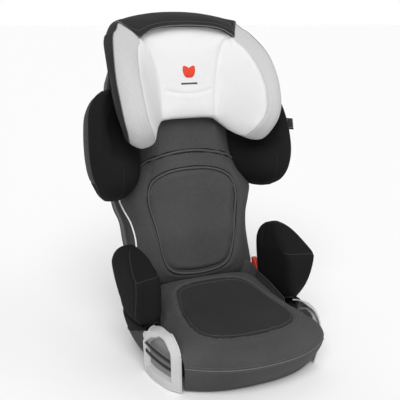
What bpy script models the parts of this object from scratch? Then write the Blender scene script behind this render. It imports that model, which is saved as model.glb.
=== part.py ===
"""High-back booster seat for a car: a moulded base with side bolsters, a reclining backrest with
shoulder wings, and a headrest that slides on rails. Metres, +Z up, the child faces -Y.

The origin is on the floor, where the ribs under the base cross. Pieces of the backrest and of the
headrest are drawn in the back frame: x across, y through the thickness (towards the rear), z up the
back from the recline axle. The empty that holds them tilts them by RECLINE."""

import math

import bmesh
import bpy
from mathutils import Matrix, Vector

# Driving dimensions
RECLINE = math.radians(11.0)
HINGE = Vector((0.0, 0.115, 0.057))
GAP = 0.0004
WALL = 0.004
SIDES = ((-1, "left"), (1, "right"))

# Base
RIM_BOTTOM = 0.0
BASE_TOP = 0.082
RIB_PITCH = 0.062
RIB_WALL = 0.004
POCKET_ROOF = 0.070
AXLE_RADIUS = 0.005
AXLE_HALF = 0.124
CHANNEL_HALF = 0.112
CLAW_X = 0.068
CLAW_WIDTH = 0.022
SEAM_HEIGHT = 0.063
ARM_CORE = ((0.154, 0.172), (-0.012, 0.034), (BASE_TOP + GAP, 0.196))

# Backrest, in the back frame
SHELL_FRONT = -0.010
SHELL_REAR = 0.018
SHELL_TOP = 0.575
TRACK_HALF = 0.050
RACK_PITCH = 0.025
RACK_NOTCHES = 7
RACK_BOTTOM = 0.376
RACK_TOP = 0.572
RACK_HALF = 0.010
RACK_FACE = 0.0065

# Headrest, in the back frame
CARRIAGE_HALF = 0.040
CARRIAGE_FACES = (0.0075, 0.0115)
CARRIAGE_ENDS = (0.330, 0.612)
BOLT_Z = 0.396
BOLT_HALF_HEIGHT = 0.005
APRON_FACES = (0.0220, 0.0260)
APRON_ENDS = (0.556, 0.618)
LEVER_PIN = Vector((0.0, 0.0310, 0.600))
LEVER_HALF = 0.026
PIN_RADIUS = 0.002


# ---------------------------------------------------------------- tools

def start():
    for old in list(bpy.data.objects):
        bpy.data.objects.remove(old, do_unlink=True)
    for name in ("booster_seat", "booster_seat_cutters"):
        bpy.context.scene.collection.children.link(bpy.data.collections.new(name))


def material(name, color, roughness, metallic=0.0):
    """A Principled material, made once for each name."""
    found = bpy.data.materials.get(name)
    if found:
        return found
    made = bpy.data.materials.new(name)
    made.use_nodes = True
    shader = made.node_tree.nodes["Principled BSDF"]
    shader.inputs["Base Color"].default_value = (*color, 1.0)
    shader.inputs["Roughness"].default_value = roughness
    shader.inputs["Metallic"].default_value = metallic
    return made


def finish(kind):
    finishes = {
        "shell_plastic": ((0.030, 0.031, 0.033), 0.45, 0.0),
        "light_plastic": ((0.52, 0.52, 0.53), 0.40, 0.0),
        "red_plastic": ((0.60, 0.05, 0.035), 0.35, 0.0),
        "rubber": ((0.012, 0.012, 0.013), 0.70, 0.0),
        "steel": ((0.56, 0.57, 0.58), 0.30, 1.0),
        "grey_fabric": ((0.065, 0.067, 0.070), 0.90, 0.0),
        "black_fabric": ((0.016, 0.016, 0.018), 0.85, 0.0),
        "white_fabric": ((0.80, 0.80, 0.79), 0.85, 0.0),
        "charcoal_fabric": ((0.035, 0.036, 0.040), 0.85, 0.0),
    }
    return material(kind, *finishes[kind])


def place(mesh_object, kind, holder=None):
    """Puts the object in the part's collection, gives it its material and its parent."""
    bpy.data.collections["booster_seat"].objects.link(mesh_object)
    mesh_object.data.materials.append(finish(kind))
    mesh_object.parent = holder
    if mesh_object.type == "MESH":
        mesh_object.data.shade_smooth()
        mesh_object.data.set_sharp_from_angle(angle=math.radians(35))
    return mesh_object


def object_from(bm, name):
    bmesh.ops.recalc_face_normals(bm, faces=bm.faces)
    mesh = bpy.data.meshes.new(name)
    bm.to_mesh(mesh)
    bm.free()
    return bpy.data.objects.new(name, mesh)


def empty(name, location, holder=None, tilt=0.0):
    frame = bpy.data.objects.new(name, None)
    bpy.data.collections["booster_seat"].objects.link(frame)
    frame.location = location
    frame.rotation_euler = (tilt, 0.0, 0.0)
    frame.parent = holder
    return frame


def rounded(corners, radius, steps=3):
    """A closed outline whose corners are curves that start `radius` before each corner."""
    outline = []
    count = len(corners)
    for index, corner in enumerate(corners):
        corner = Vector(corner)
        before = Vector(corners[index - 1]) - corner
        after = Vector(corners[(index + 1) % count]) - corner
        start_at = corner + before.normalized() * min(radius, before.length * 0.45)
        end_at = corner + after.normalized() * min(radius, after.length * 0.45)
        for step in range(steps + 1):
            t = step / steps
            outline.append(start_at * (1 - t) ** 2 + corner * 2 * t * (1 - t) + end_at * t * t)
    return outline


def loft(name, rings):
    """A closed solid through rings of equally many points, with a flat cap on each end."""
    bm = bmesh.new()
    rows = [[bm.verts.new(point) for point in ring] for ring in rings]
    count = len(rows[0])
    for low, high in zip(rows, rows[1:]):
        for i in range(count):
            j = (i + 1) % count
            bm.faces.new((low[i], low[j], high[j], high[i]))
    bm.faces.new(rows[0])
    bm.faces.new(rows[-1])
    return object_from(bm, name)


def stack(name, levels, radius, side=1):
    """A loft of horizontal sections: each level is a height and the corners of its outline."""
    rings = []
    for height, corners in levels:
        outline = rounded(corners, radius)
        rings.append([Vector((side * p.x, p.y, height)) for p in outline])
    return loft(name, rings)


def across(name, stations, radius):
    """A loft of sections that face +X: each station is an x and the (y, z) corners of its outline."""
    rings = []
    for x, corners in stations:
        outline = rounded(corners, radius)
        rings.append([Vector((x, p.x, p.y)) for p in outline])
    return loft(name, rings)


def box(name, low, high, bevel=0.0, side=1):
    """A box between two corners, its edges rounded by a Bevel modifier."""
    low = Vector(low)
    high = Vector(high)
    middle = (low + high) / 2
    middle.x *= side
    bm = bmesh.new()
    bmesh.ops.create_cube(bm, size=1.0)
    bmesh.ops.scale(bm, vec=high - low, verts=bm.verts)
    bmesh.ops.translate(bm, vec=middle, verts=bm.verts)
    made = object_from(bm, name)
    if bevel:
        edge = made.modifiers.new("rounded_edges", "BEVEL")
        edge.width = bevel
        edge.segments = 2
    return made


def rod(name, start_at, end_at, radius, segments=20, end_radius=None):
    """A round bar, or a cone, between two points."""
    start_at = Vector(start_at)
    end_at = Vector(end_at)
    along = end_at - start_at
    turn = along.to_track_quat("Z", "Y").to_matrix().to_4x4()
    bm = bmesh.new()
    bmesh.ops.create_cone(
        bm,
        cap_ends=True,
        segments=segments,
        radius1=radius,
        radius2=radius if end_radius is None else end_radius,
        depth=along.length,
        matrix=Matrix.Translation((start_at + end_at) / 2) @ turn,
    )
    return object_from(bm, name)


def plate(name, outline, thickness, at, heading=math.pi / 2):
    """An upright plate from a filled 2D curve. Its outline runs along the heading and up +Z."""
    curve = bpy.data.curves.new(name, "CURVE")
    curve.dimensions = "2D"
    curve.fill_mode = "BOTH"
    curve.extrude = thickness / 2
    spline = curve.splines.new("POLY")
    spline.points.add(len(outline) - 1)
    for point, (along, up) in zip(spline.points, outline):
        point.co = (along, up, 0.0, 1.0)
    spline.use_cyclic_u = True
    made = bpy.data.objects.new(name, curve)
    made.location = at
    made.rotation_euler = (math.pi / 2, 0.0, heading)
    return made


def carve(target, cutters, holder=None, operation="DIFFERENCE"):
    """Takes the cutters' shapes out of the target with Boolean modifiers."""
    for cutter in cutters:
        bpy.data.collections["booster_seat_cutters"].objects.link(cutter)
        cutter.hide_render = True
        cutter.display_type = "WIRE"
        cutter.parent = holder
        cut = target.modifiers.new(cutter.name, "BOOLEAN")
        cut.operation = operation
        cut.object = cutter
    return target


def arc(center, radius, from_degrees, to_degrees, steps):
    points = []
    for step in range(steps + 1):
        angle = math.radians(from_degrees + (to_degrees - from_degrees) * step / steps)
        points.append((center[0] + radius * math.cos(angle), center[1] + radius * math.sin(angle)))
    return points


# ---------------------------------------------------------------- base

def base_outline(front_half, front_y, side_half, rear_half, rear_y):
    """Plan of the tub: a bowed front, its widest stretch under the armrests, a narrower rear."""
    bow = 0.028
    return [
        (-front_half, front_y),
        (-front_half * 0.5, front_y - bow),
        (front_half * 0.5, front_y - bow),
        (front_half, front_y),
        (side_half, -0.030),
        (side_half, 0.052),
        (rear_half, rear_y),
        (-rear_half, rear_y),
        (-side_half, 0.052),
        (-side_half, -0.030),
    ]


def base_shell():
    """The moulded tub, open underneath, where its ribs stand on the car's seat."""
    shell = stack(
        "base_shell",
        [
            (RIM_BOTTOM, base_outline(0.112, -0.136, 0.126, 0.112, 0.104)),
            (0.030, base_outline(0.126, -0.146, 0.147, 0.134, 0.122)),
            (0.060, base_outline(0.132, -0.152, 0.166, 0.150, 0.131)),
            (BASE_TOP, base_outline(0.132, -0.150, 0.176, 0.160, 0.131)),
        ],
        0.018,
    )
    cutters = []
    half = (RIB_PITCH - RIB_WALL) / 2
    for column in (-1.5, -0.5, 0.5, 1.5):
        for row in (-1.5, -0.5, 0.5):
            x = column * RIB_PITCH
            y = row * RIB_PITCH
            if abs(column) > 1 and row == -1.5:
                continue
            cutters.append(
                box(
                    f"underside_pocket_{len(cutters)}",
                    (x - half, y - half, -0.01),
                    (x + half, y + half, POCKET_ROOF),
                )
            )
    cutters.append(
        box(
            "claw_channel",
            (-CHANNEL_HALF, HINGE.y - 0.019, HINGE.z - 0.018),
            (CHANNEL_HALF, HINGE.y + 0.060, BASE_TOP + 0.01),
        )
    )
    cutters.append(
        rod(
            "axle_bore",
            (-0.16, HINGE.y, HINGE.z),
            (0.16, HINGE.y, HINGE.z),
            AXLE_RADIUS + 0.0003,
            24,
        )
    )
    place(carve(shell, cutters), "shell_plastic")


def grip_pads():
    """Rubber pads under the tub's four corners, each in its own shallow seat."""
    for side, label in SIDES:
        for row, y in (("front", -0.118), ("rear", 0.088)):
            x = 0.086
            pad = rod(
                f"grip_pad_{row}_{label}",
                (side * x, y, 0.0),
                (side * x, y, 0.0035),
                0.011,
                20,
                0.0115,
            )
            place(pad, "rubber")
            seat = rod(
                f"grip_seat_{row}_{label}",
                (side * x, y, -0.002),
                (side * x, y, 0.0039),
                0.0121,
                20,
            )
            carve(bpy.data.objects["base_shell"], [seat])


def recline_axle():
    axle = rod(
        "recline_axle",
        (-AXLE_HALF, HINGE.y, HINGE.z),
        (AXLE_HALF, HINGE.y, HINGE.z),
        AXLE_RADIUS,
        24,
    )
    place(axle, "steel")


def seat_cushion():
    """The padded seat: it falls towards the front and rolls over a bowed nose."""
    shelf = BASE_TOP + GAP
    seam = SEAM_HEIGHT + GAP
    stations = [
        (-0.238, 0.060, seam, 0.078),
        (-0.228, 0.098, seam, 0.090),
        (-0.204, 0.136, seam, 0.099),
        (-0.184, 0.150, seam, 0.103),
        (-0.1815, 0.151, shelf, 0.104),
        (-0.130, 0.152, shelf, 0.110),
        (-0.078, 0.148, shelf, 0.114),
        (-0.066, 0.141, shelf, 0.115),
        (0.000, 0.140, shelf, 0.124),
        (0.060, 0.138, shelf, 0.1395),
        (0.0725, 0.130, shelf, 0.134),
    ]
    rings = []
    for y, half, low, high in stations:
        outline = rounded([(-half, low), (half, low), (half, high), (-half, high)], 0.010)
        rings.append([Vector((p.x, y, p.y)) for p in outline])
    place(loft("seat_cushion", rings), "grey_fabric")


def bowed_strip(half, end_y, middle_y, thickness, steps=12):
    """Plan of a strip that bows forwards between its two ends."""
    front = []
    rear = []
    for step in range(steps + 1):
        share = 2 * step / steps - 1
        x = share * half
        y = middle_y + (end_y - middle_y) * abs(share) ** 2.4
        front.append((x, y))
        rear.append((x * (1 - thickness / half), y + thickness))
    return front + rear[::-1]


def seat_skirt():
    """The cover's front panel, sewn under the nose and tucked below the tub's front edge."""
    rings = []
    for height, half, end_y, middle_y in (
        (0.003, 0.136, -0.158, -0.190),
        (0.032, 0.142, -0.170, -0.214),
        (SEAM_HEIGHT, 0.149, -0.178, -0.234),
    ):
        strip = bowed_strip(half, end_y, middle_y, 0.0065)
        rings.append([Vector((x, y, height)) for x, y in strip])
    place(loft("seat_skirt", rings), "grey_fabric")


def side_cover(side, label):
    """The textile panel on the tub's flank, between the floor and the bolster."""
    panel = stack(
        f"base_side_cover_{label}",
        [
            (0.004, [(0.1310, -0.044), (0.136, -0.044), (0.135, 0.046), (0.1310, 0.046)]),
            (0.030, [(0.1490, -0.044), (0.160, -0.044), (0.158, 0.060), (0.1490, 0.060)]),
            (0.060, [(0.1680, -0.044), (0.176, -0.044), (0.175, 0.068), (0.1680, 0.068)]),
            (BASE_TOP, [(0.1780, -0.044), (0.184, -0.044), (0.184, 0.070), (0.1780, 0.070)]),
            (0.092, [(0.1790, -0.044), (0.185, -0.044), (0.185, 0.070), (0.1790, 0.070)]),
        ],
        0.002,
        side,
    )
    place(panel, "grey_fabric")


def arm_core(side, label):
    (x0, x1), (y0, y1), (z0, z1) = ARM_CORE
    core = box(f"armrest_core_{label}", (x0, y0, z0), (x1, y1, z1), 0.003, side)
    place(core, "shell_plastic")


def arm_pad(side, label):
    """The padded bolster: wide on top, its lower outline drawn in to the tub's flank."""
    pad = stack(
        f"armrest_pad_{label}",
        [
            (0.0845, [(0.149, -0.056), (0.170, -0.036), (0.172, 0.020), (0.149, 0.064)]),
            (0.0925, [(0.149, -0.057), (0.176, -0.034), (0.177, 0.020), (0.149, 0.066)]),
            (0.0960, [(0.149, -0.058), (0.187, -0.030), (0.191, 0.014), (0.149, 0.067)]),
            (0.126, [(0.147, -0.062), (0.193, -0.044), (0.197, 0.034), (0.147, 0.072)]),
            (0.156, [(0.145, -0.062), (0.200, -0.060), (0.200, 0.060), (0.145, 0.076)]),
            (0.188, [(0.143, -0.058), (0.203, -0.066), (0.201, 0.078), (0.143, 0.079)]),
            (0.200, [(0.143, -0.050), (0.202, -0.058), (0.200, 0.080), (0.143, 0.080)]),
            (0.220, [(0.146, -0.018), (0.198, -0.024), (0.197, 0.077), (0.146, 0.077)]),
            (0.234, [(0.150, 0.010), (0.194, 0.006), (0.193, 0.070), (0.150, 0.070)]),
            (0.240, [(0.158, 0.026), (0.186, 0.024), (0.186, 0.060), (0.158, 0.060)]),
        ],
        0.008,
        side,
    )
    (x0, x1), (y0, y1), (z0, z1) = ARM_CORE
    pocket = box(
        f"armrest_pocket_{label}",
        (x0 - GAP, y0 - GAP, z0 - 0.01),
        (x1 + GAP, y1 + GAP, z1 + GAP),
        0.0,
        side,
    )
    place(carve(pad, [pocket]), "black_fabric")


def fairing(side, label):
    """The light plastic cover on the tub's front corner, with a recess for two rubber strips."""
    def wall(front_x, front_y, corner_x, corner_y, rear_x, rear_y):
        depth = 0.009
        return [
            (front_x, front_y),
            (corner_x, corner_y),
            (rear_x, rear_y),
            (rear_x - depth, rear_y),
            (corner_x - depth, corner_y + 0.003),
            (front_x - 0.001, front_y + depth + 0.002),
        ]

    cover = stack(
        f"side_fairing_{label}",
        [
            (0.003, wall(0.146, -0.150, 0.160, -0.133, 0.178, -0.050)),
            (0.030, wall(0.150, -0.160, 0.164, -0.140, 0.182, -0.050)),
            (0.066, wall(0.154, -0.168, 0.167, -0.146, 0.187, -0.048)),
            (0.084, wall(0.158, -0.160, 0.168, -0.140, 0.188, -0.047)),
            (0.097, wall(0.160, -0.142, 0.169, -0.124, 0.187, -0.050)),
            (0.109, wall(0.162, -0.114, 0.170, -0.100, 0.182, -0.062)),
        ],
        0.003,
        side,
    )
    recess = stack(
        f"fairing_recess_{label}",
        [
            (0.016, [(0.160, -0.126), (0.200, -0.126), (0.200, -0.062), (0.174, -0.062)]),
            (0.084, [(0.164, -0.122), (0.200, -0.122), (0.200, -0.062), (0.178, -0.062)]),
            (0.096, [(0.169, -0.104), (0.200, -0.104), (0.200, -0.070), (0.178, -0.070)]),
        ],
        0.004,
        side,
    )
    place(carve(cover, [recess]), "light_plastic")


def fairing_strips(side, label):
    """Two black rubber strips that run down towards the front across the recess."""
    for rank, lift in (("upper", 0.0), ("lower", -0.016)):
        strip = bpy.data.objects.new(
            f"fairing_strip_{rank}_{label}", bpy.data.meshes.new("fairing_strip")
        )
        bm = bmesh.new()
        bmesh.ops.create_cube(bm, size=1.0)
        bmesh.ops.scale(bm, vec=(0.003, 0.060, 0.0055), verts=bm.verts)
        turn = Matrix.Rotation(side * math.radians(-12.0), 4, "Z")
        turn = turn @ Matrix.Rotation(math.radians(22.0), 4, "X")
        middle = Vector((side * 0.1745, -0.094, 0.062 + lift))
        bmesh.ops.transform(bm, matrix=Matrix.Translation(middle) @ turn, verts=bm.verts)
        bm.to_mesh(strip.data)
        bm.free()
        place(strip, "rubber")


def lap_belt_guide(side, label):
    """The red hook that the lap belt runs under, beside the hip."""
    y0 = 0.078
    z0 = BASE_TOP + GAP
    outline = [(y0, z0), (y0 + 0.040, z0), (y0 + 0.040, z0 + 0.016), (y0 + 0.013, z0 + 0.016)]
    outline += [(y0 + 0.013, z0 + 0.048), (y0 + 0.035, z0 + 0.048), (y0 + 0.036, z0 + 0.060)]
    outline += [(y0 + 0.022, z0 + 0.068), (y0 + 0.006, z0 + 0.062), (y0, z0 + 0.046)]
    hook = plate(f"lap_belt_guide_{label}", outline, 0.012, (side * 0.150, 0.0, 0.0))
    place(hook, "red_plastic")


def make_base():
    base_shell()
    grip_pads()
    recline_axle()
    seat_cushion()
    seat_skirt()
    for side, label in SIDES:
        side_cover(side, label)
        arm_core(side, label)
        arm_pad(side, label)
        fairing(side, label)
        fairing_strips(side, label)
        lap_belt_guide(side, label)


# ---------------------------------------------------------------- backrest

def back_section(half, front, rear):
    return [(-half, front), (half, front), (half, rear), (-half, rear)]


def backrest_shell(frame):
    """The moulded back: a thick plate with ribbed pockets and a track for the headrest's carriage."""
    outline = (
        (0.030, 0.106),
        (0.060, 0.133),
        (0.100, 0.141),
        (0.149, 0.144),
        (0.195, 0.148),
        (0.212, 0.153),
        (0.225, 0.158),
        (0.245, 0.1634),
        (0.288, 0.1634),
        (0.325, 0.1684),
        (0.400, 0.1684),
        (0.450, 0.1660),
        (0.500, 0.1560),
        (0.550, 0.136),
        (SHELL_TOP, 0.104),
    )
    shell = stack(
        "backrest_shell",
        [(z, back_section(half, SHELL_FRONT, SHELL_REAR)) for z, half in outline],
        0.005,
    )
    cutters = [
        box(
            "carriage_track",
            (-TRACK_HALF, 0.0, 0.240),
            (TRACK_HALF, 0.04, SHELL_TOP + 0.02),
        )
    ]
    pocket_height = 0.052
    for row in range(8):
        low = 0.066 + row * (pocket_height + WALL)
        reach = min(0.122, 0.092 + 0.10 * row * pocket_height)
        reach = 0.100 if row > 6 else reach
        for side, label in SIDES:
            cutters.append(
                box(
                    f"rib_pocket_{row}_{label}",
                    (TRACK_HALF + WALL, -0.005, low),
                    (reach, 0.04, low + pocket_height),
                    0.0,
                    side,
                )
            )
    place(carve(shell, cutters, frame), "shell_plastic", frame)


def claws(frame):
    """The two claws at the foot of the back, which snap over the axle and turn on it."""
    inner = AXLE_RADIUS + 0.0006
    outer = 0.0115
    for side, label in SIDES:
        outline = arc((0.0, 0.0), outer, 150, -100, 14)
        outline += arc((0.0, 0.0), inner, -100, 150, 14)
        hook = plate(
            f"recline_claw_{label}", outline, CLAW_WIDTH, (side * CLAW_X, 0.0, 0.0)
        )
        place(hook, "shell_plastic", frame)


def claw_arms(frame):
    for side, label in SIDES:
        arm = box(
            f"claw_arm_{label}",
            (CLAW_X - CLAW_WIDTH / 2, 0.0, 0.0125),
            (CLAW_X + CLAW_WIDTH / 2, 0.010, 0.0296),
            0.001,
            side,
        )
        place(arm, "shell_plastic", frame)


def backrest_pad(frame):
    stations = (
        (0.056, 0.114, -0.034),
        (0.066, 0.122, -0.050),
        (0.100, 0.127, -0.058),
        (0.150, 0.1290, -0.060),
        (0.200, 0.134, -0.059),
        (0.240, 0.146, -0.056),
        (0.256, 0.139, -0.054),
        (0.282, 0.116, -0.051),
        (0.315, 0.1055, -0.047),
        (0.400, 0.1050, -0.042),
        (0.560, 0.1020, -0.040),
        (0.572, 0.0960, -0.032),
    )
    levels = []
    for z, half, front in stations:
        edge = front * 0.55
        rear = SHELL_FRONT - GAP
        corners = [(-half, edge), (-half * 0.72, front), (half * 0.72, front)]
        corners += [(half, edge), (half, rear), (-half, rear)]
        levels.append((z, corners))
    place(stack("backrest_pad", levels, 0.012), "grey_fabric", frame)


def shoulder_wing_pad(frame, side, label):
    """A deep bolster beside the shoulder. Above z 0.35 its face lies behind the headrest's wing."""
    rear = SHELL_FRONT - GAP
    levels = [
        (
            0.256,
            [(0.154, -0.046), (0.166, -0.078), (0.188, -0.076),
             (0.196, -0.048), (0.184, -0.022), (0.158, rear)],
        ),
        (
            0.277,
            [(0.129, -0.042), (0.160, -0.110), (0.207, -0.108),
             (0.216, -0.066), (0.204, -0.016), (0.132, rear)],
        ),
        (
            0.325,
            [(0.109, -0.037), (0.166, -0.124), (0.214, -0.124),
             (0.2245, -0.080), (0.2115, -0.016), (0.114, rear)],
        ),
        (
            0.350,
            [(0.109, -0.035), (0.172, -0.090), (0.214, -0.118),
             (0.2255, -0.078), (0.2125, -0.016), (0.114, rear)],
        ),
        (
            0.400,
            [(0.109, -0.032), (0.172, -0.078), (0.210, -0.112),
             (0.2245, -0.074), (0.2115, -0.016), (0.114, rear)],
        ),
        (
            0.440,
            [(0.109, -0.032), (0.170, -0.076), (0.203, -0.100),
             (0.2175, -0.066), (0.2055, -0.016), (0.114, rear)],
        ),
        (
            0.468,
            [(0.112, -0.030), (0.160, -0.064), (0.186, -0.078),
             (0.1990, -0.050), (0.1900, -0.016), (0.116, rear)],
        ),
        (
            0.484,
            [(0.120, -0.026), (0.152, -0.050), (0.174, -0.056),
             (0.184, -0.040), (0.176, -0.018), (0.124, rear)],
        ),
    ]
    pad = stack(f"shoulder_wing_pad_{label}", levels, 0.012, side)
    place(pad, "black_fabric", frame)


def shoulder_wing_shell(frame, side, label):
    """The plastic shell behind the bolster, bolted to the flank of the back."""
    wall = 0.0035

    def section(inner, corner_x, corner_y, tip_x, tip_y):
        return [
            (inner, SHELL_REAR - 0.004),
            (inner, SHELL_REAR - 0.004 - wall),
            (corner_x, corner_y),
            (tip_x, tip_y),
            (tip_x + wall, tip_y),
            (corner_x + wall, corner_y + wall),
        ]

    levels = [
        (0.288, section(0.1640, 0.2070, -0.0120, 0.2175, -0.052)),
        (0.325, section(0.1690, 0.2130, -0.0120, 0.2255, -0.062)),
        (0.400, section(0.1690, 0.2135, -0.0120, 0.2260, -0.060)),
        (0.440, section(0.1690, 0.2075, -0.0120, 0.2195, -0.054)),
        (0.462, section(0.1690, 0.1970, -0.0120, 0.2065, -0.042)),
    ]
    shell = stack(f"shoulder_wing_shell_{label}", levels, 0.001, side)
    place(shell, "shell_plastic", frame)


def guide_rail(frame, side, label):
    """An angle on each side of the track, whose lip holds the carriage in."""
    profile = [
        (0.0420, 0.0004),
        (0.0494, 0.0004),
        (0.0494, 0.0156),
        (0.0340, 0.0156),
        (0.0340, 0.0124),
        (0.0420, 0.0124),
    ]
    rings = []
    for z in (0.250, 0.570):
        rings.append([Vector((side * x, y, z)) for x, y in profile])
    place(loft(f"headrest_rail_{label}", rings), "steel", frame)


def height_rack(frame):
    """The notched strip that the lock bolt drops into, one notch every RACK_PITCH."""
    rack = box(
        "height_rack", (-RACK_HALF, GAP, RACK_BOTTOM), (RACK_HALF, RACK_FACE, RACK_TOP)
    )
    cutters = []
    notch_half = BOLT_HALF_HEIGHT + 0.0008
    for index in range(RACK_NOTCHES):
        z = BOLT_Z + index * RACK_PITCH
        cutters.append(
            box(
                f"rack_notch_{index}",
                (-0.02, 0.0016, z - notch_half),
                (0.02, 0.02, z + notch_half),
            )
        )
    place(carve(rack, cutters, frame), "steel", frame)


def wing_label(frame):
    """A plain folded textile label in the outer seam of the right wing."""
    tag = box("wing_label", (0.2275, -0.0830, 0.371), (0.2450, -0.0815, 0.401), 0.0, 1)
    place(tag, "black_fabric", frame)


def make_backrest(frame):
    backrest_shell(frame)
    claws(frame)
    claw_arms(frame)
    backrest_pad(frame)
    height_rack(frame)
    wing_label(frame)
    for side, label in SIDES:
        shoulder_wing_pad(frame, side, label)
        shoulder_wing_shell(frame, side, label)
        guide_rail(frame, side, label)


# ---------------------------------------------------------------- headrest

def headrest_shell(frame):
    """The curved plastic shell behind the headrest's pads."""
    center = -0.0500
    wall = 0.0035

    def section(flat_x, bend_x, wing_x, wing_y):
        right = [
            (flat_x, center),
            (bend_x, center - 0.006),
            (wing_x, wing_y),
            (wing_x + wall * 0.7, wing_y + wall * 0.6),
            (bend_x + wall * 0.4, center - 0.006 + wall),
            (flat_x, center + wall),
        ]
        return right + [(-x, y) for x, y in reversed(right)]

    levels = [
        (0.392, section(0.060, 0.108, 0.152, -0.086)),
        (0.430, section(0.060, 0.108, 0.164, -0.096)),
        (0.490, section(0.064, 0.112, 0.168, -0.090)),
        (0.545, section(0.078, 0.118, 0.160, -0.066)),
        (0.590, section(0.090, 0.122, 0.146, -0.050)),
    ]
    rings = [[Vector((x, y, z)) for x, y in corners] for z, corners in levels]
    place(loft("headrest_shell", rings), "shell_plastic", frame)


def headrest_bridge(frame):
    """The arched piece over the top of the back, which joins the shell to the carriage."""
    stations = []
    for step in range(9):
        share = step / 4 - 1
        drop = 0.010 * share * share
        corners = [
            (-0.0510, 0.5910),
            (-0.0510, 0.5970 - drop * 0.3),
            (-0.0180, 0.6180 - drop),
            (APRON_FACES[1], 0.6180 - drop),
            (APRON_FACES[1], APRON_ENDS[0]),
            (APRON_FACES[0], APRON_ENDS[0]),
            (APRON_FACES[0], 0.6130 - drop),
            (-0.0150, 0.6120 - drop),
        ]
        stations.append((share * 0.096, corners))
    rings = [[Vector((x, y, z)) for y, z in corners] for x, corners in stations]
    bridge = loft("headrest_bridge", rings)
    holes = [
        rod(f"screw_hole_{label}", (side * 0.046, 0.0, 0.592), (side * 0.046, 0.05, 0.592), 0.0024)
        for side, label in SIDES
    ]
    place(carve(bridge, holes, frame), "shell_plastic", frame)
    for side, label in SIDES:
        ear = box(
            f"lever_ear_{label}",
            (0.0280, APRON_FACES[1] + GAP, LEVER_PIN.z - 0.006),
            (0.0320, APRON_FACES[1] + 0.0095, LEVER_PIN.z + 0.006),
            0.001,
            side,
        )
        bore = rod(
            f"ear_bore_{label}",
            (-0.05, LEVER_PIN.y, LEVER_PIN.z),
            (0.05, LEVER_PIN.y, LEVER_PIN.z),
            PIN_RADIUS + 0.0003,
        )
        place(carve(ear, [bore], frame), "shell_plastic", frame)


def center_pad(frame):
    levels = []
    for z, half, front in (
        (0.4125, 0.050, -0.066),
        (0.422, 0.0575, -0.075),
        (0.470, 0.0580, -0.079),
        (0.530, 0.0680, -0.083),
        (0.575, 0.0800, -0.086),
        (0.590, 0.0780, -0.080),
    ):
        rear = -0.0506
        levels.append((z, [(-half, rear), (-half, front), (half, front), (half, rear)]))
    place(stack("headrest_center_pad", levels, 0.008), "white_fabric", frame)


def wing_pad(frame, side, label):
    """A cheek pad: its section runs crease, front inner edge, front outer edge, then along the shell."""
    levels = [
        (
            0.357,
            [(0.112, -0.093), (0.120, -0.114), (0.143, -0.112),
             (0.148, -0.098), (0.136, -0.082), (0.116, -0.080)],
        ),
        (
            0.385,
            [(0.090, -0.080), (0.116, -0.150), (0.162, -0.140),
             (0.163, -0.118), (0.116, -0.066), (0.092, -0.060)],
        ),
        (
            0.414,
            [(0.062, -0.074), (0.130, -0.168), (0.174, -0.152),
             (0.1745, -0.128), (0.106, -0.0600), (0.062, -0.0535)],
        ),
        (
            0.470,
            [(0.062, -0.078), (0.135, -0.164), (0.180, -0.146),
             (0.180, -0.122), (0.108, -0.0605), (0.062, -0.0535)],
        ),
        (
            0.530,
            [(0.073, -0.083), (0.128, -0.136), (0.175, -0.124),
             (0.1755, -0.100), (0.112, -0.0605), (0.073, -0.0540)],
        ),
        (
            0.560,
            [(0.082, -0.087), (0.118, -0.114), (0.168, -0.103),
             (0.1690, -0.080), (0.115, -0.0600), (0.082, -0.0550)],
        ),
        (
            0.576,
            [(0.1065, -0.0985), (0.112, -0.101), (0.1605, -0.088),
             (0.162, -0.068), (0.126, -0.0620), (0.1065, -0.0585)],
        ),
        (
            0.590,
            [(0.1170, -0.080), (0.121, -0.087), (0.154, -0.074),
             (0.155, -0.061), (0.136, -0.0585), (0.1170, -0.0605)],
        ),
        (
            0.603,
            [(0.1265, -0.066), (0.129, -0.071), (0.147, -0.063),
             (0.148, -0.055), (0.138, -0.0510), (0.1265, -0.0550)],
        ),
        (
            0.613,
            [(0.1345, -0.054), (0.1360, -0.057), (0.142, -0.054),
             (0.1425, -0.050), (0.139, -0.0470), (0.1345, -0.0490)],
        ),
    ]
    place(stack(f"headrest_wing_pad_{label}", levels, 0.009, side), "white_fabric", frame)


def side_trim(frame, side, label):
    """The dark textile band round the outer edge of the wing."""
    levels = []
    thickness = 0.0025
    for z, front_x, front, rear_x, rear in (
        (0.378, 0.1625, -0.134, 0.1632, -0.114),
        (0.400, 0.1715, -0.144, 0.1722, -0.121),
        (0.430, 0.1785, -0.150, 0.1788, -0.125),
        (0.470, 0.1815, -0.144, 0.1815, -0.121),
        (0.530, 0.1770, -0.121, 0.1772, -0.098),
        (0.565, 0.1695, -0.095, 0.1700, -0.074),
        (0.590, 0.1575, -0.071, 0.1582, -0.058),
    ):
        inner = [(front_x, front), (rear_x, rear)]
        outer = [(rear_x + thickness, rear), (front_x + thickness, front + 0.002)]
        levels.append((z, inner + outer))
    place(stack(f"headrest_side_trim_{label}", levels, 0.001, side), "charcoal_fabric", frame)


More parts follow.
